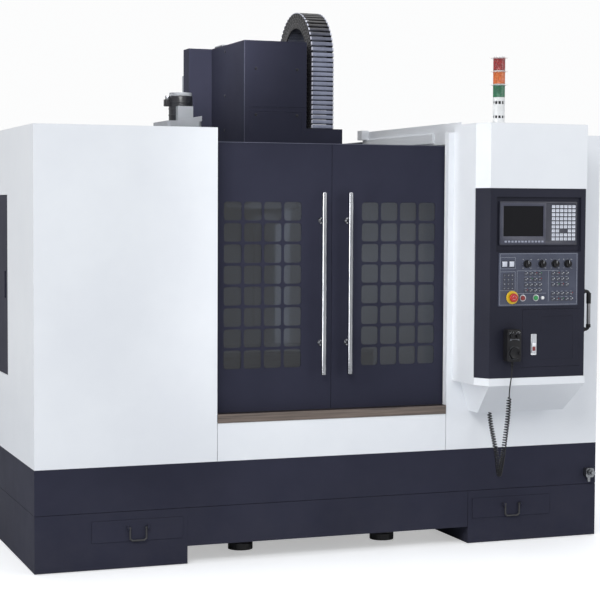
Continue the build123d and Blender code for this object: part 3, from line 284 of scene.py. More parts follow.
def heightIn(tree, vector):
    node = addNode(tree, "ShaderNodeSeparateXYZ")
    feed(tree, node.inputs[0], vector)
    return node.outputs["Z"]


def sprayCoatGroup():
    tree, given, give = newGroup("sprayCoat", {
        "Vector": "Vector", "Paint": "Color", "Deep Paint": "Color", "Peel Scale": 260.0, "Roughness": 0.4,
        "Spread": 0.08}, ("Color", "Roughness", "Height"))
    blotch = spread(tree, noiseIn(tree, given["Vector"], 1.7, 4.0, 0.6), 0.36, 0.68)
    hand = noiseIn(tree, given["Vector"], 9.0, 5.0, 0.65)
    lift = sums(tree, "MULTIPLY", sums(tree, "SUBTRACT", hand, 0.5), given["Spread"])
    feedAll(tree, give, Color=mixColours(tree, blotch, given["Paint"], given["Deep Paint"]),
            Height=noiseIn(tree, given["Vector"], given["Peel Scale"], 2.0, 0.55),
            Roughness=sums(tree, "ADD", given["Roughness"], lift))
    return tree


def edgeRubGroup():
    tree, given, give = newGroup("edgeRub", {
        "Vector": "Vector", "Color": "Color", "Rubbed": "Color", "Amount": 0.5, "Reach": 0.002},
        ("Color", "Mask"))
    bevel = feedAll(tree, addNode(tree, "ShaderNodeBevel", samples=4), Radius=given["Reach"])
    dot = addNode(tree, "ShaderNodeVectorMath", operation="DOT_PRODUCT")
    feed(tree, dot.inputs[0], bevel.outputs[0])
    feed(tree, dot.inputs[1], addNode(tree, "ShaderNodeNewGeometry").outputs["Normal"])
    edge = spread(tree, dot.outputs["Value"], 0.985, 0.86)
    patchy = spread(tree, noiseIn(tree, given["Vector"], 38.0, 5.0, 0.7), 0.42, 0.66)
    mask = sums(tree, "MULTIPLY", sums(tree, "MULTIPLY", edge, patchy), given["Amount"])
    feedAll(tree, give, Mask=mask, Color=mixColours(tree, mask, given["Color"], given["Rubbed"]))
    return tree


def settledDustGroup():
    tree, given, give = newGroup("settledDust", {
        "Vector": "Vector", "Color": "Color", "Dust": "Color", "Amount": 0.3}, ("Color", "Mask"))
    facing = heightIn(tree, addNode(tree, "ShaderNodeNewGeometry").outputs["Normal"])
    low = spread(tree, heightIn(tree, given["Vector"]), 0.5, 0.0, 0.0, 0.45)
    reach = sums(tree, "MAXIMUM", spread(tree, facing, 0.55, 0.95), low)
    cloud = spread(tree, noiseIn(tree, given["Vector"], 6.0, 6.0, 0.65), 0.3, 0.75)
    mask = sums(tree, "MULTIPLY", sums(tree, "MULTIPLY", reach, cloud), given["Amount"])
    feedAll(tree, give, Mask=mask, Color=mixColours(tree, mask, given["Color"], given["Dust"]))
    return tree


def brushGrainGroup():
    tree, given, give = newGroup("brushGrain", {
        "Vector": "Vector", "Metal": "Color", "Dark Metal": "Color", "Roughness": 0.3, "Spread": 0.2},
        ("Color", "Roughness", "Height"))
    streaks = noiseIn(tree, given["Vector"], 1.0, 5.0, 0.7)
    tone = spread(tree, streaks, 0.32, 0.7)
    lift = sums(tree, "MULTIPLY", sums(tree, "SUBTRACT", streaks, 0.5), given["Spread"])
    feedAll(tree, give, Height=streaks, Color=mixColours(tree, tone, given["Metal"], given["Dark Metal"]),
            Roughness=sums(tree, "ADD", given["Roughness"], lift))
    return tree


def mouldGrainGroup():
    tree, given, give = newGroup("mouldGrain", {
        "Vector": "Vector", "Plastic": "Color", "Worn": "Color", "Grain Scale": 900.0, "Roughness": 0.45},
        ("Color", "Roughness", "Height"))
    grain = addNode(tree, "ShaderNodeTexVoronoi", feature="SMOOTH_F1")
    feedAll(tree, grain, Vector=given["Vector"], Scale=given["Grain Scale"])
    touch = spread(tree, noiseIn(tree, given["Vector"], 14.0, 5.0, 0.65), 0.4, 0.75)
    feedAll(tree, give, Height=grain.outputs["Distance"],
            Color=mixColours(tree, touch, given["Plastic"], given["Worn"]),
            Roughness=sums(tree, "ADD", given["Roughness"], sums(tree, "MULTIPLY", touch, -0.1)))
    return tree


sprayCoat = sprayCoatGroup()
edgeRub = edgeRubGroup()
settledDust = settledDustGroup()
brushGrain = brushGrainGroup()
mouldGrain = mouldGrainGroup()


def startMaterial(name, **values):
    material = bpy.data.materials.new(name)
    material.use_nodes = True
    tree = material.node_tree
    tree.nodes.clear()
    surface = feedAll(tree, addNode(tree, "ShaderNodeBsdfPrincipled"), **values)
    feedAll(tree, addNode(tree, "ShaderNodeOutputMaterial"), Surface=surface.outputs[0])
    return material, tree, surface, addNode(tree, "ShaderNodeTexCoord").outputs["Object"]


def placeGroup(tree, group, **values):
    return feedAll(tree, addNode(tree, "ShaderNodeGroup", node_tree=group), **values).outputs


# Fine relief by bump, over a bevel that rounds what the mesh leaves sharp
def reliefTo(tree, surface, height, strength, distance, edge):
    bump = addNode(tree, "ShaderNodeBump")
    feedAll(tree, bump, Strength=strength, Distance=distance, Height=height)
    if edge:
        bevel = feedAll(tree, addNode(tree, "ShaderNodeBevel", samples=4), Radius=edge)
        feedAll(tree, bump, Normal=bevel.outputs[0])
    feedAll(tree, surface, Normal=bump.outputs[0])


# Dust colour and grain scale, then bump distance and edge radius of each kind of surface, in metres
finishSet = {"dust": (0.42, 0.40, 0.37, 1.0), "coated": (0.0006, 0.0018), "brushed": (0.0003, 0.001),
             "moulded": (0.0004, 0.0008), "grain": 900.0}


def coatedMaterial(name, paint, deep, rubbed, roughness=0.38, peel=260.0, relief=0.12, rub=0.35, dust=0.18,
                   coat=0.12, gloss=0.5):
    material, tree, surface, where = startMaterial(
        name, Coat_Weight=coat, Coat_Roughness=0.18, Specular_IOR_Level=gloss)
    base = placeGroup(tree, sprayCoat, Vector=where, Paint=shade(*paint), Deep_Paint=shade(*deep),
                      Peel_Scale=peel, Roughness=roughness, Spread=0.12)
    distance, edge = finishSet["coated"]
    worn = placeGroup(tree, edgeRub, Vector=where, Color=base["Color"], Rubbed=shade(*rubbed), Amount=rub,
                      Reach=edge)
    dusty = placeGroup(tree, settledDust, Vector=where, Color=worn["Color"], Dust=finishSet["dust"],
                       Amount=dust)
    rough = sums(tree, "ADD", base["Roughness"], sums(tree, "MULTIPLY", dusty["Mask"], 0.35))
    feedAll(tree, surface, Base_Color=dusty["Color"], Roughness=rough)
    reliefTo(tree, surface, base["Height"], relief, distance, edge)
    return material


def brushedMaterial(name, metal, dark, stretch, roughness=0.3, relief=0.08, grain=0.2):
    material, tree, surface, where = startMaterial(name, Metallic=1.0)
    mapping = feedAll(tree, addNode(tree, "ShaderNodeMapping"), Scale=stretch, Vector=where)
    base = placeGroup(tree, brushGrain, Vector=mapping.outputs[0], Metal=shade(*metal),
                      Dark_Metal=shade(*dark), Roughness=roughness, Spread=grain)
    feedAll(tree, surface, Base_Color=base["Color"], Roughness=base["Roughness"])
    reliefTo(tree, surface, base["Height"], relief, *finishSet["brushed"])
    return material


def mouldedMaterial(name, plastic, worn, roughness=0.45, relief=0.1, coat=0.0, edge=None, gloss=0.5):
    material, tree, surface, where = startMaterial(
        name, Coat_Weight=coat, Coat_Roughness=0.08, Specular_IOR_Level=gloss)
    base = placeGroup(tree, mouldGrain, Vector=where, Plastic=shade(*plastic), Worn=shade(*worn),
                      Grain_Scale=finishSet["grain"], Roughness=roughness)
    feedAll(tree, surface, Base_Color=base["Color"], Roughness=base["Roughness"])
    distance, usual = finishSet["moulded"]
    reliefTo(tree, surface, base["Height"], relief, distance, usual if edge is None else edge)
    return material


def glassMaterial(name, colour, roughness, through):
    material, tree, surface, where = startMaterial(
        name, IOR=1.45, Base_Color=colour, Transmission_Weight=through, Specular_IOR_Level=0.08)
    smear = noiseIn(tree, where, 5.0, 5.0, 0.7)
    feedAll(tree, surface, Roughness=spread(tree, smear, 0.35, 0.8, roughness, roughness + 0.12))
    return material


paints = {}


def addPaint(slot, kind, *colours, **values):
    words = slot.split("_")
    paints[slot] = kind(words[0] + "".join(word.title() for word in words[1:]), *colours, **values)


addPaint("white_enamel", coatedMaterial, (233, 236, 240), (226, 229, 234), (190, 192, 196), roughness=0.36,
         rub=0.25)
addPaint("navy_enamel", coatedMaterial, (52, 53, 67), (46, 47, 60), (86, 88, 100), roughness=0.5, dust=0.06,
         coat=0.0, gloss=0.02)
addPaint("casting_paint", coatedMaterial, (168, 172, 178), (150, 154, 160), (120, 120, 122), roughness=0.5,
         peel=120.0, relief=0.4, rub=0.5)
addPaint("gearbox_paint", coatedMaterial, (140, 143, 148), (120, 123, 128), (140, 140, 142), roughness=0.5,
         peel=120.0, relief=0.4, rub=0.5)
addPaint("ground_iron", brushedMaterial, (168, 170, 174), (120, 122, 126), (4, 90, 90))
addPaint("ground_steel", brushedMaterial, (200, 202, 206), (150, 152, 156), (60, 60, 400))
addPaint("black_steel", coatedMaterial, (40, 41, 45), (28, 29, 32), (120, 120, 122), roughness=0.45, rub=0.6)
addPaint("sill_steel", brushedMaterial, (132, 120, 112), (86, 80, 78), (3, 120, 160), roughness=0.38)
addPaint("handle_steel", brushedMaterial, (176, 178, 182), (118, 120, 126), (160, 160, 6), roughness=0.13,
         relief=0.03, grain=0.1)
addPaint("motor_paint", coatedMaterial, (34, 35, 40), (25, 26, 30), (90, 90, 94), roughness=0.4, coat=0.04,
         gloss=0.25)
addPaint("magazine_metal", brushedMaterial, (150, 153, 160), (98, 100, 106), (80, 80, 80), roughness=0.36)
addPaint("chain_plastic", mouldedMaterial, (136, 141, 158), (112, 116, 134), roughness=0.32, relief=0.06)
addPaint("window_glass", glassMaterial, (0.20, 0.22, 0.26, 1.0), 0.03, 0.96)
addPaint("console_paint", coatedMaterial, (43, 44, 56), (37, 38, 49), (90, 94, 104), roughness=0.42,
         peel=420.0, relief=0.2, dust=0.04, coat=0.0, gloss=0.10)
addPaint("control_plastic", mouldedMaterial, (38, 40, 54), (48, 50, 64))
addPaint("screen_glass", glassMaterial, (0.012, 0.012, 0.014, 1.0), 0.06, 0.0)
addPaint("panel_film", mouldedMaterial, (66, 70, 86), (77, 82, 98), roughness=0.45, gloss=0.3)
addPaint("black_plastic", mouldedMaterial, (20, 20, 23), (29, 29, 32), roughness=0.46, gloss=0.22)
addPaint("red_plastic", mouldedMaterial, (196, 26, 24), (170, 30, 28), roughness=0.25, coat=0.4, relief=0.02)
addPaint("dark_red_plastic", mouldedMaterial, (126, 26, 30), (106, 24, 26), roughness=0.3, coat=0.3,
         relief=0.02)
addPaint("green_plastic", mouldedMaterial, (34, 136, 70), (26, 112, 60), roughness=0.3, coat=0.3, relief=0.02)
addPaint("yellow_plastic", mouldedMaterial, (228, 190, 30), (206, 172, 34))
addPaint("cord_sheath", mouldedMaterial, (22, 22, 25), (32, 32, 36), roughness=0.34, relief=0.03, edge=0.0,
         gloss=0.3)
addPaint("tower_white", mouldedMaterial, (230, 231, 232), (214, 215, 214), roughness=0.3, relief=0.02)
addPaint("lens_green", mouldedMaterial, (32, 146, 100), (26, 122, 84), roughness=0.18, coat=0.6, relief=0.01)
addPaint("lens_amber", mouldedMaterial, (226, 150, 44), (206, 132, 38), roughness=0.18, coat=0.6, relief=0.01)
addPaint("lens_red", mouldedMaterial, (196, 52, 44), (172, 44, 38), roughness=0.18, coat=0.6, relief=0.01)
addPaint("coupling_metal", brushedMaterial, (160, 162, 166), (104, 106, 110), (200, 200, 200), roughness=0.36)
print("materials built:", len(paints))

# Each CAD node takes the finish of its material slot, the magazine's gearbox a darker casting paint
for name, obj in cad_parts.items():
    slot = "gearbox_paint" if name == "magazine_gearbox" else obj.data.materials[0].name
    match = next(key for key in sorted(paints, key=len, reverse=True) if slot.startswith(key))
    obj.data.materials.clear()
    obj.data.materials.append(paints[match])
print("CAD nodes dressed:", len(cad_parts))


# Pendant cord: a straight lead, then one curly stretch down to the gland under the pod
cordSet = {
    "lead": ((749, -328, 867), (748.4, -327, 842), (744.8, -323, 806), (741.8, -319.4, 770)),
    "coil": ((741, -318, 738), (739.8, -316.2, 690), (736.6, -314.4, 634), (731, -309, 574), (729, -298, 514),
             (730.4, -281, 459), (737, -252, 406), (751, -214, 367), (769, -172, 353), (782, -137, 380),
             (788, -113, 428), (784, -96, 485), (778, -81, 543), (773.4, -66, 598), (772, -60, 640)),
    "cable": 6.0, "turnRadius": 9.2, "pitch": 12.2, "pointsPerTurn": 14,
}


def smoothLine(name, points):
    curve = bpy.data.curves.new(name, "CURVE")
    curve.dimensions = "3D"
    curve.resolution_u = 12
    spline = curve.splines.new("NURBS")
    spline.points.add(len(points) - 1)
    for point, place in zip(spline.points, points):
        point.co = (*place, 1.0)
    spline.order_u = 3
    spline.use_endpoint_u = True
    obj = bpy.data.objects.new(name, curve)
    bpy.context.scene.collection.objects.link(obj)
    return obj


def readLine(points):
    guide = smoothLine("guide", points)
    bpy.context.view_layer.update()
    mesh = bpy.data.meshes.new_from_object(guide)
    line = [vertex.co.copy() for vertex in mesh.vertices]
    bpy.data.objects.remove(guide)
    bpy.data.meshes.remove(mesh)
    return line


def evenLine(line, step):
    lengths = [0.0]
    for first, second in zip(line, line[1:]):
        lengths.append(lengths[-1] + (second - first).length)
    count = max(2, round(lengths[-1] / step))
    places = []
    index = 0
    for k in range(count + 1):
        want = lengths[-1] * k / count
        while index < len(line) - 2 and lengths[index + 1] < want:
            index += 1
        part = (want - lengths[index]) / max(1e-9, lengths[index + 1] - lengths[index])
        places.append(line[index].lerp(line[index + 1], part))
    return places


def lineLength(line):
    return sum((second - first).length for first, second in zip(line, line[1:]))


def makePendantCord():
    route = readLine([spot(*point) for point in cordSet["coil"]])
    turns = round(lineLength(route) * 1000 / cordSet["pitch"])
    places = evenLine(route, lineLength(route) / (turns * cordSet["pointsPerTurn"]))
    side = Vector((1, 0, 0))
    helix = []
    count = len(places) - 1
    for k, place in enumerate(places):
        ahead = places[min(k + 1, count)] - places[max(k - 1, 0)]
        ahead.normalize()
        side = (side - ahead * side.dot(ahead)).normalized()
        across = ahead.cross(side)
        angle = 2 * math.pi * k / cordSet["pointsPerTurn"]
        ease = min(1.0, k / 16, (count - k) / 16)
        radius = cordSet["turnRadius"] / 1000 * ease
        helix.append(place + (side * math.cos(angle) + across * math.sin(angle)) * radius)
    points = [spot(*point) for point in cordSet["lead"]] + helix
    cord = smoothLine("pendantCord", points)
    cord.data.resolution_u = 2
    cord.data.bevel_depth = cordSet["cable"] / 2000
    cord.data.bevel_resolution = 2
    cord.data.materials.append(paints["cord_sheath"])
    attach(cord, "machine")
    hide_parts("cord_lead", "cord_coil")
    length = lineLength(readLine(points))
    print("pendant cord:", turns, "turns,", round(length, 3), "m")


makePendantCord()


# World: even cool light, and a pale background for the camera and for reflections
worldSet = {"light": (0.93, 0.96, 1.0, 1.0), "strength": 0.50, "background": (0.975, 0.978, 0.98, 1.0)}


def makeWorld():
    world = bpy.data.worlds.new("studio")
    bpy.context.scene.world = world
    world.use_nodes = True
    tree = world.node_tree
    tree.nodes.clear()
    soft = feedAll(tree, addNode(tree, "ShaderNodeBackground"), Color=worldSet["light"],
                   Strength=worldSet["strength"])
    pale = feedAll(tree, addNode(tree, "ShaderNodeBackground"), Color=worldSet["background"])
    path = addNode(tree, "ShaderNodeLightPath").outputs
    seen = sums(tree, "MAXIMUM", path["Is Camera Ray"], path["Is Transmission Ray"])
    seen = sums(tree, "MAXIMUM", seen, path["Is Glossy Ray"])
    mix = addNode(tree, "ShaderNodeMixShader")
    for index, value in enumerate((seen, soft.outputs[0], pale.outputs[0])):
        feed(tree, mix.inputs[index], value)
    feedAll(tree, addNode(tree, "ShaderNodeOutputWorld"), Surface=mix.outputs[0])


# Floor: a pale disc that fades out towards its rim
floorSet = {"radius": 22, "sides": 96, "pale": (240, 241, 243), "deep": (234, 236, 239), "glow": 0.42,
            "fade": (3.5, 9.0)}


def makeFloor():
    bpy.ops.object.select_all(action="DESELECT")
    bpy.ops.mesh.primitive_circle_add(vertices=floorSet["sides"], radius=floorSet["radius"], fill_type="NGON",
                                      location=(0, 0, 0))
    floor = bpy.context.active_object
    floor.name = "studioFloor"
    material, tree, surface, where = startMaterial(
        "floorPaint", Roughness=0.55, Emission_Color=(1.0, 1.0, 1.0, 1.0))
    cloud = spread(tree, noiseIn(tree, where, 0.6, 4.0, 0.55), 0.3, 0.7)
    path = addNode(tree, "ShaderNodeLightPath").outputs
    distance = addNode(tree, "ShaderNodeVectorMath", operation="LENGTH")
    feed(tree, distance.inputs[0], where)
    tone = mixColours(tree, cloud, shade(*floorSet["pale"]), shade(*floorSet["deep"]))
    feedAll(tree, surface, Base_Color=tone,
            Emission_Strength=sums(tree, "MULTIPLY", path["Is Camera Ray"], floorSet["glow"]),
            Alpha=spread(tree, distance.outputs["Value"], *floorSet["fade"], 1.0, 0.0))
    dress(floor, material)


def makeLight(name, place, aim, size, power, spreadAngle=180):
    data = bpy.data.lights.new(name, "AREA")
    data.shape = "RECTANGLE"
    data.size, data.size_y = size
    data.energy = power
    data.spread = math.radians(spreadAngle)
    lamp = bpy.data.objects.new(name, data)
    bpy.context.scene.collection.objects.link(lamp)
    lamp.location = place
    lamp.rotation_euler = (Vector(aim) - Vector(place)).to_track_quat("-Z", "Y").to_euler()


lampSet = {
    "keyLamp": ((-4.2, -7.0, 6.2), (0.0, -0.6, 1.1), (4.0, 3.0), 298.0),
    "fillLamp": ((5.5, -6.5, 3.2), (0.4, -0.8, 1.1), (3.0, 3.0), 78.0),
    "topLamp": ((0.0, 0.4, 6.5), (0.0, 0.0, 0.0), (5.0, 4.0), 130.0),
    "sideLamp": ((-6.0, -1.5, 3.0), (-1.4, 0.2, 1.3), (3.0, 3.0), 10.0),
    "podLamp": ((-1.34, -1.5, 1.45), (0.62, -1.12, 1.42), (0.3, 1.4), 2.8, 70),
    "coverLamp": ((-0.75, -1.3, 2.85), (-0.24, 0.38, 2.28), (0.4, 0.4), 2.0, 34),
}
makeWorld()
makeFloor()
for lampName, lampValues in lampSet.items():
    makeLight(lampName, *lampValues)
print("studio lit")


# Energy chain: one link modelled once, then laid along the run up, the half turn and the run down
chainSet = {"left": 193.0, "width": 120.0, "front": 803.0, "height": 84.0, "radius": 250.0, "turn": 2350.0,
            "foot": 1994.0, "anchor": 1900.0, "links": 61, "pitch": 24.6, "plate": 7.0, "pin": 4.2,
            "pins": ((-0.6, -0.3), (-0.3, 0.22), (0.02, -0.2), (0.34, 0.24), (0.64, -0.28)),
            "stretch": {"chainFrontRun": (834, 2726, 1994), "chainArch": (1043, 2260, 2460),
                        "chainRearRun": (1252, 1900, 2820)}}


def makeChainLink():
    half, tall, pitch, wall, pinRadius = (chainSet[key] / scale for key, scale in (
        ("width", 2000), ("height", 2000), ("pitch", 1000), ("plate", 1000), ("pin", 1000)))
    plates, pins, edges, slats = [], [], [], []
    for side in (-1, 1):
        outer, inner = side * (half - 0.001), side * (half - 0.001 - wall)
        plate = startBox("chainPlate", (min(outer, inner), -tall + 0.003, -pitch * 0.56),
                         (max(outer, inner), tall - 0.003, pitch * 0.40))
        insetFaces(plate, lambda c, n: abs(n.x) > 0.9 and c.x * side > 0, (0.0022, (-side * 0.0008, 0, 0)))
        plates.append(roundEdges(plate, 0.0012, 1))
        for offset, rise in chainSet["pins"]:
            place = (side * (half - 0.0012), offset * tall, rise * pitch)
            pins.append(roundEdges(startRound("chainPin", place, pinRadius, 0.0022, "X", 12), 0.0005, 1))
        # Painted highlight: a light strip along each side plate's outer front corner, standing in for light
        # caught on the edge
        outer, inner = side * half, side * (half - 0.0075)
        edge = startBox("chainEdge", (min(outer, inner), -tall, -pitch * 0.34),
                        (max(outer, inner), -tall + 0.004, pitch * 0.34))
        edges.append(roundEdges(edge, 0.001, 2))
    for face in (-1, 1):
        slat = startBox("chainSlat", (-half + 0.0085, face * (tall - 0.0042) - 0.002, -pitch * 0.38),
                        (half - 0.0085, face * (tall - 0.0042) + 0.002, pitch * 0.38))
        insetFaces(slat, lambda c, n: n.y * face > 0.9, (0.003, (0, face * 0.0018, 0)))
        slats.append(roundEdges(slat, 0.0008, 1))
    return joinPieces("chainLink", [dress(joinPieces(name, objs), finish) for name, objs, finish in (
        ("chainSides", plates, chainSideFinish), ("chainCovers", slats, chainSlatFinish),
        ("chainPins", pins, chainPinFinish), ("chainEdges", edges, chainEdgeHighlightFinish))])


def chainFrame(distance, straightUp, arc, middle):
    x, turn = chainSet["left"] + chainSet["width"] / 2, chainSet["turn"]
    front, centre = chainSet["front"] + chainSet["height"] / 2, chainSet["front"] + chainSet["radius"]
    if distance <= straightUp:
        return placeAt(x, front, chainSet["foot"] + distance * 1000)
    if distance <= straightUp + arc:
        bend = Matrix.Rotation((straightUp - distance) / middle, 4, "X") @ Matrix.Translation((0, -middle, 0))
        return placeAt(x, centre, turn) @ bend
    down = distance - straightUp - arc
    place = placeAt(x, centre + middle * 1000, turn - down * 1000)
    return place @ Matrix.Rotation(math.pi, 4, "X")


def makeEnergyChain():
    straightUp = (chainSet["turn"] - chainSet["foot"]) / 1000
    middle = (chainSet["radius"] - chainSet["height"] / 2) / 1000
    arc = math.pi * middle
    pitch = (straightUp + arc + (chainSet["turn"] - chainSet["anchor"]) / 1000) / chainSet["links"]
    link = makeChainLink()
    runs = {name: [] for name in chainSet["stretch"]}
    for k in range(chainSet["links"]):
        distance = (k + 0.5) * pitch
        run = ("chainFrontRun" if distance < straightUp else "chainArch" if distance < straightUp + arc
               else "chainRearRun")
        runs[run].append(copyPiece(link, chainFrame(distance, straightUp, arc, middle)))
    bpy.data.objects.remove(link)
    made = {name: joinPieces(name, links) for name, links in runs.items()}
    for name, (y, start, end) in chainSet["stretch"].items():
        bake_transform(made[name])
    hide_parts("energy_chain")
    print("energy chain:", chainSet["links"], "links")


# Slats that darken over the top of the arch
def chainSlatMaterial():
    material, tree, surface, where = startMaterial("chainSlats", Specular_IOR_Level=0.25)
    base = placeGroup(tree, mouldGrain, Vector=where, Plastic=shade(142, 147, 166), Worn=shade(118, 122, 142),
                      Grain_Scale=finishSet["grain"], Roughness=0.34)
    patchy = sums(tree, "MULTIPLY", noiseIn(tree, where, 30.0, 4.0, 0.6), 0.06)
    # Darker towards the top of the arch, its start shifted a little by noise
    archTopDarkening = spread(tree, sums(tree, "ADD", heightIn(tree, where), patchy), 2.40, 2.55)
    feedAll(tree, surface, Base_Color=mixColours(tree, archTopDarkening, base["Color"], shade(30, 29, 32)),
            Roughness=base["Roughness"])
    reliefTo(tree, surface, base["Height"], 0.06, *finishSet["moulded"])
    return material


chainSlatFinish = chainSlatMaterial()
chainSideFinish = mouldedMaterial("chainSides", (16, 16, 19), (28, 28, 32), roughness=0.38, relief=0.05,
                                  gloss=0.2)
chainPinFinish = mouldedMaterial("chainPins", (104, 102, 104), (58, 56, 60), roughness=0.4, relief=0.05,
                                 gloss=0.2)
# Light colour of the painted edge highlight strips on the chain links
chainEdgeHighlightFinish = mouldedMaterial("chainEdges", (196, 198, 212), (160, 162, 178), roughness=0.3, relief=0.05)
makeEnergyChain()


# Modelling in the machine's own millimetres
def millBox(name, x0, x1, y0, y1, z0, z1):
    return startBox(name, spot(x0, y0, z0), spot(x1, y1, z1))


def millRound(name, x, y, z, radius, depth, axis="Y", sides=32):
    return startRound(name, spot(x, y, z), radius / 1000, depth / 1000, axis, sides)


def millRing(name, x, y, z, radius, hole, depth, sides=64):
    ring = millRound(name, x, y, z, radius, depth, sides=sides)
    return cutAway(ring, millRound("hole", x, y, z, hole, 30, sides=48))


# A point at a distance from a centre, its angle counted clockwise from the top
def around(x, z, radius, degrees):
    angle = math.radians(degrees)
    return x + math.sin(angle) * radius, z + math.cos(angle) * radius


def cutAway(obj, cutter):
    pickOnly(obj)
    cut = obj.modifiers.new("cut", "BOOLEAN")
    cut.operation = "DIFFERENCE"
    cut.object = cutter
    bpy.ops.object.modifier_apply(modifier="cut")
    bpy.data.objects.remove(cutter)
    return obj


def put(objs, name, body, finish=None, stands=()):
    obj = joinPieces(name, objs if isinstance(objs, list) else [objs])
    if finish:
        dress(obj, finish)
    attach(obj, body)
    if stands:
        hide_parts(*stands)


def makeMarks(marks, face, thick=0.25):
    start = startBox("mark", (-0.5, -0.5, -0.5), (0.5, 0.5, 0.5))
    plates = []
    for x, z, width, height, turn in marks:
        place = placeAt(x, face - thick / 2, z) @ Matrix.Rotation(math.radians(turn), 4, "Y")
        size = Matrix.Diagonal((width / 1000, thick / 1000, height / 1000, 1))
        plates.append(copyPiece(start, place @ size))
    bpy.data.objects.remove(start)
    return plates


def makeFigures(figures, face, size):
    made = []
    for text, x, z in figures:
        bpy.ops.object.select_all(action="DESELECT")
        bpy.ops.object.text_add(location=(0, 0, 0))
        figure = bpy.context.active_object
        figure.data.body = text
        figure.data.size = size / 1000
        figure.data.align_x = "CENTER"
        figure.data.align_y = "CENTER"
        figure.data.resolution_u = 3
        bpy.ops.object.convert(target="MESH")
        figure = bpy.context.active_object
        figure.data.transform(placeAt(x, face, z) @ Matrix.Rotation(math.pi / 2, 4, "X"))
        made.append(figure)
    return made


# Override knobs: a fluted grip with a wing and a pointer line on a round skirt
knobSet = {"places": (833, 911, 979, 1044), "z": 1343, "face": -300.3, "skirt": (18, 4), "grip": (15, 13),
           "flutes": 24, "wing": (3, 19.8, -13.6, 16.8), "pointer": (0.7, 20, 2, 15.2)}


def makeKnob():
    radius, thick = (size / 1000 for size in knobSet["skirt"])
    skirt = startRound("skirt", (0, -thick / 2, 0), radius, thick, "Y", 48)
    insetFaces(skirt, facesFront, (0.0022, (0, -0.0008, 0)))
    roundEdges(skirt, 0.0006, 2)
    radius, deep = (size / 1000 for size in knobSet["grip"])
    flutes = knobSet["flutes"]
    grip = startRound("grip", (0, -thick - deep / 2, 0), radius, deep, "Y", flutes * 2)
    cutFlutes(grip, Vector((0, 0, 0)), flutes, "z", 0.0003, 0.0007)
    insetFaces(grip, facesFront, (0.0024, (0, 0.0009, 0)))
    roundEdges(grip, 0.0005, 1)
    half, reach, low, high = (size / 1000 for size in knobSet["wing"])
    wing = startBox("wing", (-half, -reach, low), (half, -thick, high))
    pickFaces(wing, facesFront)
    bpy.ops.transform.resize(value=(0.7, 1, 0.93))
    leaveEdit()
    roundEdges(wing, 0.0012, 3)
    knob = dress(joinPieces("knob", [skirt, grip, wing]), "black_plastic")
    half, reach, low, high = (size / 1000 for size in knobSet["pointer"])
    line = startBox("pointer", (-half, -reach, low), (half, 0.0004 - reach, high))
    roundEdges(line, 0.0001, 1, finish=markWhite)
    return joinPieces("knob", [knob, line])


def makeOverrideKnobs():
    start = makeKnob()
    for number, x in enumerate(knobSet["places"], 1):
        knob = copyPiece(start, placeAt(x, knobSet["face"], knobSet["z"]))
        put(knob, "overrideKnob%d" % number, "knob_%d" % number,
            stands=("override_knob_%d" % number,))
    bpy.data.objects.remove(start)
    print("override knobs:", len(knobSet["places"]))


# Emergency stop: a mushroom head with turning marks, on a yellow collar
stopSet = {"x": 759, "z": 1190, "head": 20, "headFront": -325, "headRear": -312.5, "stem": (10.5, 15),
           "collar": (30, 11.6, 5), "panel": -300, "arrowRadius": 8.8}


def makeStopButton():
    x, z, front, rear, panel = take(stopSet, "x", "z", "headFront", "headRear", "panel")
    out = stopSet["arrowRadius"] / 1000
    head = millRound("stopHead", x, (front + rear) / 2, z, stopSet["head"], rear - front, sides=64)
    bevelPicked(head, pickFaces, facesFront, 0.0052, 6)
    insetFaces(head, facesFront, (0.003, (0, 0.0008, 0)))
    roundEdges(head, 0.0007, 2)
    stem = roundEdges(millRound("stopStem", x, rear + 6, z, *stopSet["stem"], sides=48), 0.0007, 2)
    for shape in (head, stem):
        dress(shape, "red_plastic")
    arrows = []
    for number in range(3):
        turn = placeAt(x, front + 0.75, z) @ Matrix.Rotation(number * math.tau / 3, 4, "Y")
        for step in range(5):
            angle = math.radians(20 + step * 13)
            bar = startBox("arrow", (-0.0013, -0.0001, -0.0005), (0.0013, 0.0001, 0.0005))
            bar.data.transform(turn @ Matrix.Rotation(-angle, 4, "Y") @ Matrix.Translation((0, 0, out)))
            arrows.append(dress(bar, markWhite))
    put([head, stem] + arrows, "stopMushroom", "stop_push", stands=("stop_button",))
    ring = millRing("collar", x, panel - 2.5, z, *stopSet["collar"])
    put(roundEdges(ring, 0.0014, 3), "stopCollarRing", "machine", "yellow_plastic", stands=("stop_collar",))
    print("emergency stop ready")


# Push buttons: domed caps in bright bezels, and the lamp beside them
buttonSet = {"hold": (813, "hold_push", "dark_red_plastic", "hold_button"),
             "start": (880, "start_push", "green_plastic", "start_button"),
             "lamp": (916, 8.2, 4.6), "z": 1187, "radius": 11, "panel": -300}


def makePushButtons():
    z, radius, panel = take(buttonSet, "z", "radius", "panel")
    for key in ("hold", "start"):
        x, body, finish, node = buttonSet[key]
        cap = millRound("cap", x, panel + 5, z, radius, 26, sides=48)
        bevelPicked(cap, pickFaces, facesFront, 0.0026, 5)
        smoothOver(cap)
        put(cap, key + "Cap", body, finish, stands=(node,))
        bezel = millRing("bezel", x, panel - 2, z, radius + 4.5, radius + 0.5, 4, 48)
        put(roundEdges(bezel, 0.0008, 2), key + "Bezel", "machine", "ground_steel")
    x, radius, depth = buttonSet["lamp"]
    lamp = millRound("lamp", x, panel - 2.4, z, radius, depth, sides=40)
    bevelPicked(lamp, pickFaces, facesFront, 0.002, 4)
    smoothOver(lamp)
    put(lamp, "lampLens", "machine", "tower_white")
    print("push buttons ready")


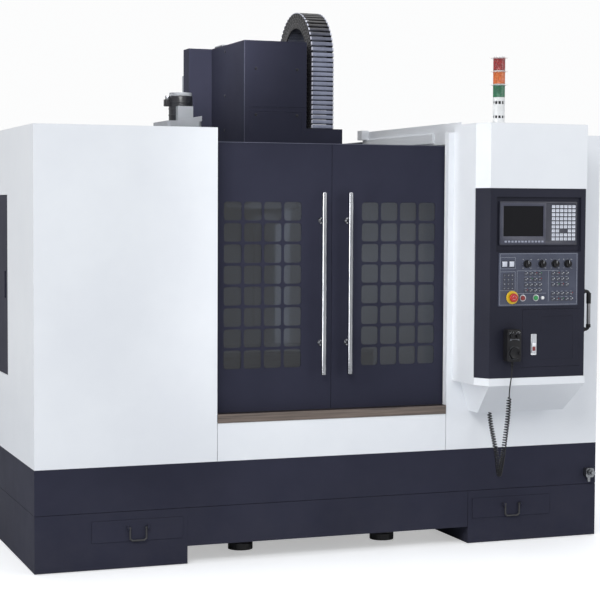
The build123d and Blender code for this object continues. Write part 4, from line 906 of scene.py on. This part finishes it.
# Control unit: a bezel round the screen, soft keys under it and a block of keys on the right
unitSet = {"left": 695, "right": 1095, "bottom": 1429, "top": 1629, "face": -294, "rear": -284,
           "screen": (710, 922, 1466, 1612), "softKeys": (720, 1450, 12, 17.2, 13, 12),
           "keys": (963, 1613, 6, 9, 21.2, 18.6, 17, 14), "gap": ((2, 6), (3, 6)),
           "keyWell": (953, 1087, 1440, 1620)}


def makeKeyCap(width, height, rise):
    cap = startBox("keyCap", (-width / 2000, -rise / 1000, -height / 2000), (width / 2000, 0, height / 2000))
    pickFaces(cap, facesFront)
    bpy.ops.transform.resize(value=(1 - 1.6 / width, 1, 1 - 1.6 / height))
    bpy.ops.mesh.inset(thickness=0.0014)
    bpy.ops.transform.translate(value=(0, 0.00035, 0))
    leaveEdit()
    return roundEdges(cap, 0.00035, 1)


def layKeys(places, width, height, rise, face):
    start = makeKeyCap(width, height, rise)
    caps = [copyPiece(start, placeAt(x + width / 2, face, z - height / 2)) for x, z in places]
    bpy.data.objects.remove(start)
    return caps


def makeControlUnit():
    left, right, bottom, top, face, rear = take(unitSet, "left", "right", "bottom", "top", "face", "rear")
    sx0, sx1, sz0, sz1 = unitSet["screen"]
    body = millBox("unitBody", left, right, face, rear, bottom, top)
    bevelPicked(body, pickEdges, runsDeep(0.005), 0.005, 4)
    cutAway(body, millBox("screenCut", sx0, sx1, face - 1, face + 4, sz0, sz1))
    x0, x1, z0, z1 = unitSet["keyWell"]
    cutAway(body, millBox("keyWell", x0, x1, face - 1, face + 0.8, z0, z1))
    roundEdges(body, 0.0006, 2)
    frameRing = millBox("screenFrame", sx0 - 11, sx1 + 11, face - 1.3, face + 0.1, sz0 - 32, sz1 + 11)
    bevelPicked(frameRing, pickEdges, runsDeep(0.001), 0.004, 3)
    cutAway(frameRing, millBox("screenCut", sx0 + 4, sx1 - 4, face - 3, face + 2, sz0 + 4, sz1 - 4))
    roundEdges(frameRing, 0.0005, 2)
    dress(body, "control_plastic")
    dress(frameRing, bezelGrey)
    screws = [millRound("screw", x, face - 0.4, z, 3.4, 1.2, sides=20) for x in (left + 7, right - 7)
              for z in (bottom + 7, top - 7)]
    for screw in screws:
        roundEdges(screw, 0.0003, 1)
        dress(screw, "black_steel")
    put([body, frameRing] + screws, "controlUnit", "machine",
        stands=("cnc_unit",))
    x0, z0, count, pitch, width, height = unitSet["softKeys"]
    soft = layKeys([(x0 + k * pitch, z0) for k in range(count)], width - 1.5, height - 3, 1.6, face - 1.2)
    put(soft, "softKeys", "machine", keyGrey)
    x0, z0, columns, rows, pitchX, pitchZ, width, height = unitSet["keys"]
    places = [(x0 + column * pitchX, z0 - row * pitchZ) for column in range(columns) for row in range(rows)
              if (column, row) not in unitSet["gap"]]
    put(layKeys(places, width, height, 2.4, face + 0.7), "unitKeys", "machine", keyWhite)
    figures = [(str((7 + k % 3 - 3 * (k // 3)) % 10), x0 + (k % 3) * pitchX + width / 2,
                z0 - (k // 3) * pitchZ - height / 2) for k in range(9)]
    digits = makeFigures(figures, face - 1.75, 7.5)
    put(digits, "unitDigits", "machine", markDark)
    marks = []
    for index, (x, z) in enumerate(places):
        if (x - x0) / pitchX < 2.5 and (z0 - z) / pitchZ < 2.5:
            continue
        marks.append((x + width / 2, z - height / 2 + 1.2, 6.5 - index % 3, 0.9, 0))
        if index % 2:
            marks.append((x + width / 2, z - height / 2 - 1.6, 4.0, 0.8, 0))
    put(makeMarks(marks, face - 1.6, 0.2), "unitKeyMarks", "machine", markDark)
    print("control unit keys:", len(places))


# Operator panel: key caps with signal dots, rockers, dial ticks and printed outlines over the panel
panelSet = {"left": 690, "top": 1394, "face": -300, "keySize": 15, "spacing": 6,
            "columns": (3, 4, 4, 5), "rows": (4, 4, 3, 2),
            "blocks": ((22, 94, 20, 20), (130, 89, 24, 26), (270, 89, 24, 26), (270, 182, 24, 26)),
            "rockers": (718, 754), "rockerZ": 1343, "dialRadius": 22.5, "dialTicks": 15, "figureRadius": 28,
            "figures": (("0", -135), ("50", -45), ("100", 45), ("150", 135)),
            "lines": ((895, 1390, 400, 0.9), (895, 1156, 400, 0.9), (696, 1272, 0.9, 230),
                      (1094, 1272, 0.9, 230), (736, 1373, 76, 0.8), (736, 1322, 76, 0.8),
                      (698.5, 1347.5, 0.8, 51), (774, 1347.5, 0.8, 51), (736, 1308, 76, 0.8),
                      (736, 1222, 76, 0.8), (774, 1265, 0.8, 86), (951, 1318, 0.8, 0.8),
                      (890, 1312, 214, 0.8), (784, 1258, 0.8, 108), (946, 1240, 0.8, 140),
                      (860, 1208, 150, 0.8))}


def makeOperatorPanel():
    face, top, left, tall = take(panelSet, "face", "top", "left", "keySize")
    caps, marks, lit = [], [], []
    for columns, rows, (inset, drop, pitchX, pitchZ) in zip(panelSet["columns"], panelSet["rows"],
                                                            panelSet["blocks"]):
        width = pitchX - panelSet["spacing"]
        places = [(left + inset + column * pitchX, top - drop - row * pitchZ)
                  for column in range(columns) for row in range(rows)]
        caps += layKeys([(x - 0.4, z + 0.4) for x, z in places], width + 0.8, tall + 0.8, 2.4, face + 0.2)
        for index, (x, z) in enumerate(places):
            marks.append((x + width / 2, z - tall / 2 + 1, width * 0.5, 1.1, 0))
            marks.append((x + width / 2, z - tall / 2 - 2, width * (0.25 + 0.1 * (index % 3)), 1.0, 0))
            if pitchZ > 22:
                marks.append((x + width / 2 - 2, z + 4.4, width * 0.55, 1.2, 0))
                lit.append((x + width - 2, z - 3, index))
    put(caps, "panelKeyCaps", "machine", keyDark)
    put(makeMarks(marks, face - 2.05, 0.25), "panelKeyMarks", "machine", markGrey)
    dots = []
    for x, z, index in lit:
        dots.append(dress(millRound("signalDot", x, face - 2.25, z, 2.1, 0.5, sides=12),
                          dotRed if index % 5 == 3 else dotGreen if index % 7 == 5 else markWhite))
    put(dots, "panelSignalDots", "machine")
    lines = [(*line, 0) for line in panelSet["lines"]]
    for x in knobSet["places"]:
        for step in range(panelSet["dialTicks"]):
            turn = -135 + 270 * step / (panelSet["dialTicks"] - 1)
            place = around(x, knobSet["z"], panelSet["dialRadius"], turn)
            lines.append((*place, 0.8, 3.4 if step % 7 == 0 else 2.2, turn))
    put(makeMarks(lines, face, 0.22), "panelLines", "machine", markGrey)
    figures = [(text, *around(x, knobSet["z"], panelSet["figureRadius"], turn)) for x in knobSet["places"]
               for text, turn in panelSet["figures"]]
    put(makeFigures(figures, face - 0.2, 5.5), "dialFigures", "machine", markWhite)
    rockers = []
    for x in panelSet["rockers"]:
        z = panelSet["rockerZ"]
        bezel = millBox("rockerBezel", x - 13.5, x + 13.5, face - 2, face + 0.2, z - 15, z + 15)
        roundEdges(bezel, 0.0008, 2, finish="black_plastic")
        rocker = millBox("rocker", x - 11.2, x + 11.2, face - 7.4, face, z - 12.2, z + 12.2)
        pickFaces(rocker, facesFront)
        bpy.ops.mesh.subdivide(number_cuts=1)
        leaveEdit()
        for vertex in rocker.data.vertices:
            if vertex.co.y < spot(0, face - 7, 0).y:
                lift = vertex.co.z - z / 1000
                vertex.co.y += 0.0024 - abs(lift + 0.0122) * 0.1 if lift < 0.004 else 0.0002
        roundEdges(rocker, 0.0006, 2, finish=keyWhite)
        rockers += [bezel, rocker]
    put(rockers, "panelRockers", "machine")
    print("operator panel marks:", len(marks) + len(lines))


markWhite = mouldedMaterial("markWhite", (226, 228, 230), (206, 208, 210), roughness=0.5, relief=0.0)
markGrey = mouldedMaterial("markGrey", (196, 200, 212), (166, 172, 186), roughness=0.5, relief=0.0)
markDark = mouldedMaterial("markDark", (40, 42, 50), (54, 56, 62), roughness=0.5, relief=0.0)
dotRed = mouldedMaterial("dotRed", (170, 44, 44), (150, 40, 40), roughness=0.3, relief=0.0)
dotGreen = mouldedMaterial("dotGreen", (70, 150, 90), (60, 130, 80), roughness=0.3, relief=0.0)
keyWhite = mouldedMaterial("keyWhite", (216, 220, 230), (196, 200, 212), roughness=0.38, relief=0.05)
keyGrey = mouldedMaterial("keyGrey", (150, 155, 172), (130, 135, 150), roughness=0.4, relief=0.05)
keyDark = mouldedMaterial("keyDark", (50, 53, 66), (42, 44, 56), roughness=0.4, relief=0.05)
bezelGrey = mouldedMaterial("bezelGrey", (52, 54, 70), (62, 64, 80), roughness=0.42, relief=0.1)
for make in (makeOverrideKnobs, makeStopButton, makePushButtons, makeControlUnit, makeOperatorPanel):
    make()


# Hand pendant: a black housing with its strain relief and dial marks, a graduated handwheel with a crank
pendantSet = {"x": 749, "bottom": 899, "top": 1047, "front": -350, "rear": -306, "half": 35, "wheelZ": 939,
              "wheel": 27, "wheelHeight": 11, "crank": 5, "crankHeight": 13, "selectorZ": 1019,
              "selectors": {733: ("1", "2", "3"), 765: ("1", "10", "100")}, "relief": 6.5, "reliefLength": 32,
              "rings": 6, "hook": 18, "tickRadius": 30.2, "ticks": 50, "dialRadius": 12.8,
              "dialTurns": (-60, -30, 0, 30, 60), "figureRadius": 17, "figureTurns": (-32, 0, 32),
              "wheelTickRadius": 24.4, "wheelTicks": 40}


def makePendantBox():
    x, low, high, front, rear, half = take(pendantSet, "x", "bottom", "top", "front", "rear", "half")
    box = millBox("pendantHousing", x - half, x + half, front, rear, low, high)
    bevelPicked(box, pickEdges, runsDeep(0.03), 0.009, 6)
    bevelPicked(box, pickEdges, lambda a, b: max(a.y, b.y) < spot(0, front + 1, 0).y, 0.003, 3)
    for side in (-1, 1):
        hookX = x + side * pendantSet["hook"]
        cutAway(box, millBox("hookSlot", hookX - 5, hookX + 5, rear - 8, rear + 1, high - 50, high - 35))
    groove = millBox("seam", x - half - 1, x + half + 1, rear - 15, rear - 14, low - 1, high + 1)
    inner = millBox("seamCore", x - half + 0.8, x + half - 0.8, rear - 16, rear - 13, low + 0.8, high - 0.8)
    cutAway(groove, inner)
    cutAway(box, groove)
    bpy.ops.object.select_all(action="DESELECT")
    wide, long = (pendantSet[key] / 1000 for key in ("relief", "reliefLength"))
    bpy.ops.mesh.primitive_cone_add(vertices=32, radius1=wide * 0.62, radius2=wide, depth=long,
                                    location=spot(x, (front + rear) / 2, low - long * 500 + 0.3))
    relief = bpy.context.active_object
    bpy.ops.object.transform_apply(location=True)
    for step in range(pendantSet["rings"]):
        z = low - 4 - step * 4.3
        cutter = millRound("ringCut", x, (front + rear) / 2, z, 9, 1.5, "Z", 32)
        core = millRound("ringCore", x, (front + rear) / 2, z, 3.9 + (5 - step) * 0.28, 3, "Z", 32)
        cutAway(cutter, core)
        cutAway(relief, cutter)
    for piece in (box, relief):
        smoothOver(piece)
    screws = [millRound("screw", x + side * (half - 6), front - 0.2, z, 2.4, 1.0, sides=16)
              for side in (-1, 1) for z in (low + 6, high - 6)]
    for screw in screws:
        roundEdges(screw, 0.0002, 1)
    put([box, relief] + screws, "pendantHousing", "machine",
        "black_plastic", stands=("pendant_box",))
    print("pendant housing ready")


def makePendantMarks():
    x, front, selectorZ = take(pendantSet, "x", "front", "selectorZ")
    marks, figures = [], []
    for selector, texts in pendantSet["selectors"].items():
        for turn in pendantSet["dialTurns"]:
            marks.append((*around(selector, selectorZ, pendantSet["dialRadius"], turn), 1.0, 2.6, turn))
        for text, turn in zip(texts, pendantSet["figureTurns"]):
            figures.append((text, *around(selector, selectorZ, pendantSet["figureRadius"], turn)))
    for step in range(pendantSet["ticks"]):
        turn = 360 * step / pendantSet["ticks"]
        place = around(x, pendantSet["wheelZ"], pendantSet["tickRadius"], turn)
        marks.append((*place, 0.6, 1.5 if step % 5 else 2.6, turn))
    marks += [(x, selectorZ - 16.5, 46, 0.8, 0), (x - 20, selectorZ - 20.5, 9, 1.1, 0),
              (x + 20, selectorZ - 20.5, 9, 1.1, 0)]
    put(makeMarks(marks, front + 0.05, 0.3), "pendantMarks", "machine", markGrey)
    put(makeFigures(figures, front - 0.25, 4.6), "pendantFigures", "machine", markWhite)
    print("pendant marks:", len(marks))


def makeHandwheel():
    x, z, front = pendantSet["x"], pendantSet["wheelZ"], pendantSet["front"] - 0.3
    high = pendantSet["wheelHeight"] - 0.3
    wheel = millRound("handwheel", x, front - high / 2, z, pendantSet["wheel"], high, sides=96)
    cutFlutes(wheel, spot(x, 0, z), 48, "z", 0.0002, 0.0008)
    insetFaces(wheel, facesFront, (0.0035, (0, -0.0004, 0)), (0.0045, (0, 0.0022, 0)))
    roundEdges(wheel, 0.0005, 2)
    crankX = x + 0.6 * pendantSet["wheel"]
    reach = pendantSet["crankHeight"]
    crank = millRound("crank", crankX, front - high - reach / 2 + 1, z, pendantSet["crank"], reach, sides=32)
    bevelPicked(crank, pickFaces, facesFront, 0.0024, 5)
    smoothOver(crank)
    put([wheel, crank], "pendantHandwheel", "handwheel", "black_plastic",
        stands=("pendant_wheel",))
    marks = []
    for step in range(pendantSet["wheelTicks"]):
        turn = 360 * step / pendantSet["wheelTicks"]
        place = around(x, z, pendantSet["wheelTickRadius"], turn)
        marks.append((*place, 0.6, 1.4 if step % 4 else 2.4, turn))
    put(makeMarks(marks, front - high + 0.05, 0.2), "handwheelMarks", "handwheel", markWhite)
    print("handwheel ready")


# Signal tower: a white stem with two rows of slots, ribbed lenses between white rings, a rounded cap
towerSet = {"x": 783, "y": -100, "foot": 1985, "radius": 28, "footRadius": 34, "stem": 128, "lens": 53,
            "ring": 9, "cap": 14, "ribs": 36, "slots": ((2022, 12), (2088, 14)), "slotCount": 10}


def makeTower():
    x, y, foot, radius, lensTall, ringTall, capTall = take(
        towerSet, "x", "y", "foot", "radius", "lens", "ring", "cap")
    stemTop = foot + towerSet["stem"]
    parts = []
    flange = millRound("flange", x, y, foot + 6, towerSet["footRadius"], 12, "Z", 64)
    bevelPicked(flange, pickFaces, facesUp, 0.0045, 4)
    parts.append(roundEdges(flange, 0.0005, 1, 50))
    stem = millRound("stem", x, y, (foot + 12 + stemTop) / 2, radius, towerSet["stem"] - 12, "Z", 80)
    for z, tall in towerSet["slots"]:
        for k in range(towerSet["slotCount"]):
            angle = math.tau * (k + 0.5) / towerSet["slotCount"]
            cutter = startBox("slot", (-0.006, -0.004, -tall / 2000), (0.006, 0.004, tall / 2000))
            turn = placeAt(x, y, z) @ Matrix.Rotation(angle, 4, "Z")
            cutter.data.transform(turn @ Matrix.Translation((0, -radius / 1000, 0)))
            cutAway(stem, cutter)
    parts.append(roundEdges(stem, 0.0005, 1, 40))
    z = stemTop
    for number in range(2):
        z += lensTall
        ring = millRound("ring", x, y, z + ringTall / 2, radius - 0.6, ringTall, "Z", 64)
        parts.append(roundEdges(ring, 0.0012, 2, 50))
        z += ringTall
    z += lensTall
    cap = millRound("cap", x, y, z + capTall / 2, radius - 1, capTall, "Z", 64)
    bevelPicked(cap, pickFaces, facesUp, 0.008, 6)
    smoothOver(cap)
    core = millRound("core", x, y, (stemTop + z) / 2, 9, z - stemTop, "Z", 24)
    put(parts + [cap, core], "towerStem", "machine", "tower_white", stands=("tower_stem",))
    lining = millRound("lining", x, y, (foot + stemTop) / 2, radius - 3.2, towerSet["stem"] - 26, "Z", 40)
    put(roundEdges(lining, 0.0005, 1, 50), "towerSlotLining", "machine", "motor_paint")
    z = stemTop
    for colour in ("green", "amber", "red"):
        lens = millRound("lens", x, y, z + lensTall / 2, radius, lensTall, "Z", towerSet["ribs"] * 2)
        cutFlutes(lens, spot(x, y, 0), towerSet["ribs"], "y", 0.0003, 0.0009)
        pickFaces(lens, lambda c, n: abs(n.z) < 0.1)
        bpy.ops.mesh.subdivide(number_cuts=1)
        leaveEdit()
        for side in (-1, 1):
            insetFaces(lens, lambda c, n: n.z * side > 0.9, (0.0012, None))
        roundEdges(lens, 0.0003, 1, 25)
        put(lens, colour + "Lens", "machine", lensFinish[colour], ("tower_lens_" + colour,))
        z += lensTall + ringTall
    print("signal tower ready")


def lensMaterial(name, colour, deep):
    material, tree, surface, where = startMaterial(
        name, Coat_Weight=0.5, Coat_Roughness=0.05, Roughness=0.16, Subsurface_Weight=0.25,
        Subsurface_Scale=0.01)
    split = feedAll(tree, addNode(tree, "ShaderNodeMapping"), Scale=(60, 60, 210), Vector=where)
    flecks = addNode(tree, "ShaderNodeTexVoronoi", feature="F1")
    feedAll(tree, flecks, Scale=1.6, Vector=split.outputs[0])
    tone = spread(tree, flecks.outputs["Distance"], 0.15, 0.8)
    feedAll(tree, surface, Base_Color=mixColours(tree, tone, shade(*colour), shade(*deep)))
    reliefTo(tree, surface, flecks.outputs["Distance"], 0.5, 0.0008, 0.0)
    return material


# Grab handle on the console's right: a black bar on two feet, with a grey tube between two sleeves
grabSet = {"x": 1143, "reach": 38, "y": -262, "low": 1034, "high": 1212, "radius": 8, "bend": 16,
           "sleeves": (16, 50)}
grabTubeFinish = brushedMaterial("grabTube", (150, 150, 152), (96, 96, 100), (500, 500, 500), roughness=0.42,
                                 relief=0.3)


def makeGrabHandle():
    x0, y, low, high, radius, bend = take(grabSet, "x", "y", "low", "high", "radius", "bend")
    x1 = x0 + grabSet["reach"]
    bpy.ops.object.select_all(action="DESELECT")
    bpy.ops.mesh.primitive_circle_add(vertices=24, radius=radius / 1000, fill_type="NGON",
                                      location=spot(x0 + 2, y, low), rotation=(0, math.pi / 2, 0))
    bar = bpy.context.active_object
    bpy.ops.object.transform_apply(location=True, rotation=True)
    straight, upright = (grabSet["reach"] - bend - 2) / 1000, (high - low - 2 * bend) / 1000
    pickFaces(bar, lambda c, n: True)
    bpy.ops.mesh.extrude_region_move(TRANSFORM_OT_translate={"value": (straight, 0, 0)})
    for z, move in ((low + bend, (0, 0, upright)), (high - bend, (-straight, 0, 0))):
        bpy.ops.mesh.spin(steps=8, angle=math.pi / 2, center=spot(x1 - bend, y, z), axis=(0, 1, 0))
        bpy.ops.mesh.extrude_region_move(TRANSFORM_OT_translate={"value": move})
    bpy.ops.mesh.select_all(action="SELECT")
    bpy.ops.mesh.remove_doubles(threshold=0.00002)
    bpy.ops.mesh.normals_make_consistent(inside=False)
    leaveEdit()
    smoothOver(bar, 50)
    dress(bar, "black_plastic")
    tube = millRound("grabTube", x1, y, (low + high) / 2, radius + 1, high - low - 36, "Z", 40)
    feet = [roundEdges(tube, 0.0006, 2, 50, grabTubeFinish)]
    for z, inward, length in zip((low, high), (1, -1), grabSet["sleeves"]):
        foot = millRound("grabFoot", x0 + 1, y, z, radius + 7, 12, "X", 40)
        feet.append(roundEdges(foot, 0.0018, 3, 50, "black_plastic"))
        collar = millRound("grabCollar", x0 + 10, y, z, radius + 3, 14, "X", 32)
        feet.append(roundEdges(collar, 0.0012, 2, 50, "black_plastic"))
        sleeve = millRound("grabSleeve", x1, y, z + inward * (length / 2 + 8), radius + 3, length,
                           "Z", 40)
        feet.append(roundEdges(sleeve, 0.0016, 3, 50, "black_plastic"))
    put([bar] + feet, "grabHandle", "machine",
        stands=("grab_handle",))
    print("grab handle ready")


# Latch of the hatch: a bright dished plate on the hatch, and the paddle with its red lock button
latchSet = {"x": 874, "z": 972, "width": 29, "height": 97, "face": -298, "paddle": (11, 933, 979),
            "lock": (8, 943, 963)}


def makeLatch():
    x, z, face = latchSet["x"], latchSet["z"], latchSet["face"]
    half, tall = latchSet["width"] / 2, latchSet["height"] / 2
    plate = millBox("latchPlate", x - half, x + half, face - 1.4, face + 2, z - tall, z + tall)
    bevelPicked(plate, pickEdges, runsDeep(0.002), 0.004, 4)
    insetFaces(plate, facesFront, (0.0028, (0, 0.0009, 0)))
    put(roundEdges(plate, 0.0004, 2), "latchPlate", "hatch", latchSilver)
    half, low, high = latchSet["paddle"]
    paddle = millBox("paddle", x - half, x + half, face - 4, face - 0.7, low, high)
    bevelPicked(paddle, pickEdges, runsDeep(0.002), 0.003, 4)
    roundEdges(paddle, 0.0009, 3, finish=latchSilver)
    half, low, high = latchSet["lock"]
    lock = millBox("lock", x - half, x + half, face - 4.6, face - 3, low, high)
    bevelPicked(lock, pickEdges, runsDeep(0.001), 0.0025, 4)
    roundEdges(lock, 0.0004, 2, finish="dark_red_plastic")
    put([paddle, lock], "latchPaddle", "paddle",
        stands=("latch_paddle",))
    print("latch ready")


# Electrical gear on the mounting plate: drives, three rows of switches, a supply, terminals and ducts
gearSet = {
    "plate": 1968,
    "drives": {"places": (-420, -300, -180, -60), "z": 1560, "size": (96, 190, 330), "fins": 9},
    "breakers": {"from": 90, "z": 1660, "count": 9, "size": (32, 74, 84), "spacing": 38},
    "contactors": {"from": 90, "z": 1470, "count": 6, "size": (46, 82, 78), "spacing": 58},
    "supply": ((-420, -180, 860, 1180), 150),
    "terminals": {"from": -440, "z": 720, "count": 54, "size": (11, 48, 44), "spacing": 16.4},
    "relays": {"from": -120, "z": 1060, "count": 20, "size": (22, 68, 84), "spacing": 27},
    "ducts": (((-468, 468, 1800, 1850), 62), ((-468, 468, 1320, 1370), 62), ((-468, 468, 780, 830), 62),
              ((-520, -470, 640, 1850), 62), ((470, 520, 640, 1850), 62)),
}


def gearBox(name, x0, x1, z0, z1, depth, finish, rim=0.003, back=0):
    front = gearSet["plate"]
    return roundEdges(millBox(name, x0, x1, front + back, front + depth, z0, z1), rim, 2, finish=finish)


def makeDrives():
    drives = gearSet["drives"]
    wide, deep, tall = drives["size"]
    front, low = gearSet["plate"] + deep, drives["z"] - tall / 2
    made = []
    for x in drives["places"]:
        made.append(gearBox("drive", x - wide / 2, x + wide / 2, low, low + tall, deep, "gearbox_paint"))
        for k in range(drives["fins"]):
            z = low + 30 + k * (tall - 130) / drives["fins"]
            slot = millBox("slot", x - wide / 2 + 12, x + wide / 2 - 12, front - 1, front + 1, z, z + 7)
            made.append(dress(slot, "black_plastic"))
        made.append(gearBox("window", x - 26, x + 26, low + tall - 76, low + tall - 44, deep + 1.2,
                            "screen_glass", 0.0008, deep - 1))
    return made


def makeSwitchRow(name, finish):
    row = gearSet[name]
    wide, deep, tall = row["size"]
    x, z = row["from"], row["z"]
    made = []
    for k in range(row["count"]):
        left, middle = x + k * row["spacing"], x + k * row["spacing"] + wide / 2
        made.append(gearBox(name, left, left + wide, z - tall / 2, z + tall / 2, deep, finish, 0.002))
        made.append(gearBox("lever", middle - 5, middle + 5, z - 9, z + 9, deep + 9, "black_plastic", 0.0012,
                            deep - 2))
    made.append(gearBox("rail", x - 14, x + row["count"] * row["spacing"], z - 17, z + 17, 8,
                        "coupling_metal", 0.001))
    return made


def makeTerminals():
    row = gearSet["terminals"]
    wide, deep, tall = (size / 1000 for size in row["size"])
    first = roundEdges(startBox("terminal", (-wide / 2, 0, -tall / 2), (wide / 2, deep, tall / 2)), 0.001, 1)
    made = []
    for k in range(row["count"]):
        place = placeAt(row["from"] + k * row["spacing"], gearSet["plate"], row["z"])
        made.append(dress(copyPiece(first, place), markGrey if k % 6 else "green_plastic"))
    bpy.data.objects.remove(first)
    return made


def makeElectricalGear():
    made = makeDrives()
    for name, finish in (("breakers", markWhite), ("contactors", "motor_paint"), ("relays", markGrey)):
        made += makeSwitchRow(name, finish)
    limits, deep = gearSet["supply"]
    made.append(gearBox("supply", *limits, deep, "black_steel", 0.005))
    made += makeTerminals()
    for limits, deep in gearSet["ducts"]:
        made.append(gearBox("duct", *limits, deep, markGrey))
    put(made, "electricalGear", "machine")
    print("electrical gear ready")


# Painted highlights: light strips along the head cover's fold and the door track's top edge, standing in for
# light caught on these edges
foldHighlightSet = {"coverFold": ((-166.2, -163.0, 798.8, 802.0, 1640, 2424), "head"),
           "trackFold": ((-556, 574, 46.0, 49.4, 1886, 1889.4), "machine")}


def makeFoldHighlights():
    for name, (limits, body) in foldHighlightSet.items():
        strip = millBox(name, *limits)
        put(roundEdges(strip, 0.001, 2), name, body, foldHighlightFinish)
    print("folds ready:", len(foldHighlightSet))


# Button-head screws of the head cover
def makeScrews(name, places, axis, body, radius=7.5):
    screws = []
    for x, y, z in places:
        head = millRound("screw", x, y, z, radius, 4, axis, 24)
        side = {"X": 0, "Y": 1}[axis]
        bevelPicked(head, pickFaces, lambda c, n: n[side] < -0.9, 0.0022, 3)
        insetFaces(head, lambda c, n: n[side] < -0.99, (0.0022, None))
        screws.append(roundEdges(head, 0.0002, 1, 60))
    put(screws, name, body, "motor_paint")


# Servo motors: a black case with ribs round it, a cable plug and its nut, the round one with a grey cap
motorSet = {
    "magazineMotor": {"round": (-382, 1180, 2036, 2180, 61), "plug": (-452, 1180, 2136), "body": "machine"},
    "columnMotor": {"square": (-66, 66, 1474, 1606, 2319, 2466), "plug": (0, 1624, 2430), "body": "machine"},
    "crossMotor": {"square": (674, 761, 884, 1016, 579, 711), "plug": (715, 1034, 690),
                   "body": "saddle_slide"},
}


def makeMotor(name):
    values = motorSet[name]
    made = []
    if "round" in values:
        x, y, low, high, radius = values["round"]
        case = millRound("case", x, y, (low + high - 16) / 2, radius, high - low - 16, "Z", 48)
        made.append(roundEdges(case, 0.004, 3, 50, "motor_paint"))
        for z in (low + 30, low + 62, low + 94):
            fin = millRound("fin", x, y, z, radius + 2, 5, "Z", 48)
            made.append(roundEdges(fin, 0.0012, 2, 50, "motor_paint"))
        cap = millRound("cap", x, y, high - 6, radius - 9, 14, "Z", 48)
        made.append(roundEdges(cap, 0.003, 3, 50, "gearbox_paint"))
    else:
        x0, x1, y0, y1, low, high = values["square"]
        made.append(roundEdges(millBox("case", x0, x1, y0, y1, low, high), 0.009, 4, 50, "motor_paint"))
        for part in (0.3, 0.5, 0.7):
            z = low + (high - low) * part
            fin = millBox("fin", x0 - 1, x1 + 1, y0 - 1, y1 + 1, z - 2.5, z + 2.5)
            made.append(roundEdges(fin, 0.002, 2, 50, "motor_paint"))
    x, y, z = values["plug"]
    plug = millBox("plug", x - 17, x + 17, y - 17, y + 17, z - 26, z + 10)
    made.append(roundEdges(plug, 0.004, 3, 50, "black_plastic"))
    made.append(roundEdges(millRound("nut", x, y, z + 18, 13, 20, "Z", 8), 0.0014, 2, 30, "coupling_metal"))
    put(made, name, values["body"])


def makeAnchorPlate():
    left, right = chainSet["left"], chainSet["left"] + chainSet["width"]
    rear = chainSet["front"] + 2 * chainSet["radius"]
    top = chainSet["anchor"] - 1
    plate = millBox("anchorPlate", left, right + 1, rear - chainSet["height"] + 2, rear - 1, top - 6, top)
    made = [roundEdges(plate, 0.0015, 2)]
    for x in (left + 22, right - 22):
        bolt = millRound("anchorBolt", x, rear - chainSet["height"] / 2, top - 9, 8, 7, "Z", 6)
        made.append(roundEdges(bolt, 0.001, 2))
    put(made, "chainAnchor", "machine", "black_steel")


latchSilver = brushedMaterial("latchSilver", (214, 216, 220), (176, 178, 184), (120, 120, 8),
                              roughness=0.34)
# Colour of the painted fold highlights
foldHighlightFinish = coatedMaterial("foldPaint", (88, 90, 106), (72, 74, 90), (140, 142, 150), roughness=0.5,
                            coat=0.0, gloss=0.1)
lensFinish = {"green": lensMaterial("lensGreenGlass", (24, 124, 82), (12, 84, 58)),
              "amber": lensMaterial("lensAmberGlass", (222, 120, 40), (186, 84, 28)),
              "red": lensMaterial("lensRedGlass", (176, 38, 38), (118, 20, 26))}
for make in (makePendantBox, makePendantMarks, makeHandwheel, makeTower, makeGrabHandle, makeLatch,
             makeFoldHighlights, makeElectricalGear):
    make()
for motorName in motorSet:
    makeMotor(motorName)
makeAnchorPlate()
print("motors ready:", len(motorSet))
makeScrews("coverSideScrews", [(-166, 1113, z) for z in (2392, 2167, 1990)], "X", "head")
makeScrews("coverFrontScrews", [(x, 799, z) for x in (-104, 114) for z in (2286, 2057)], "Y", "head")
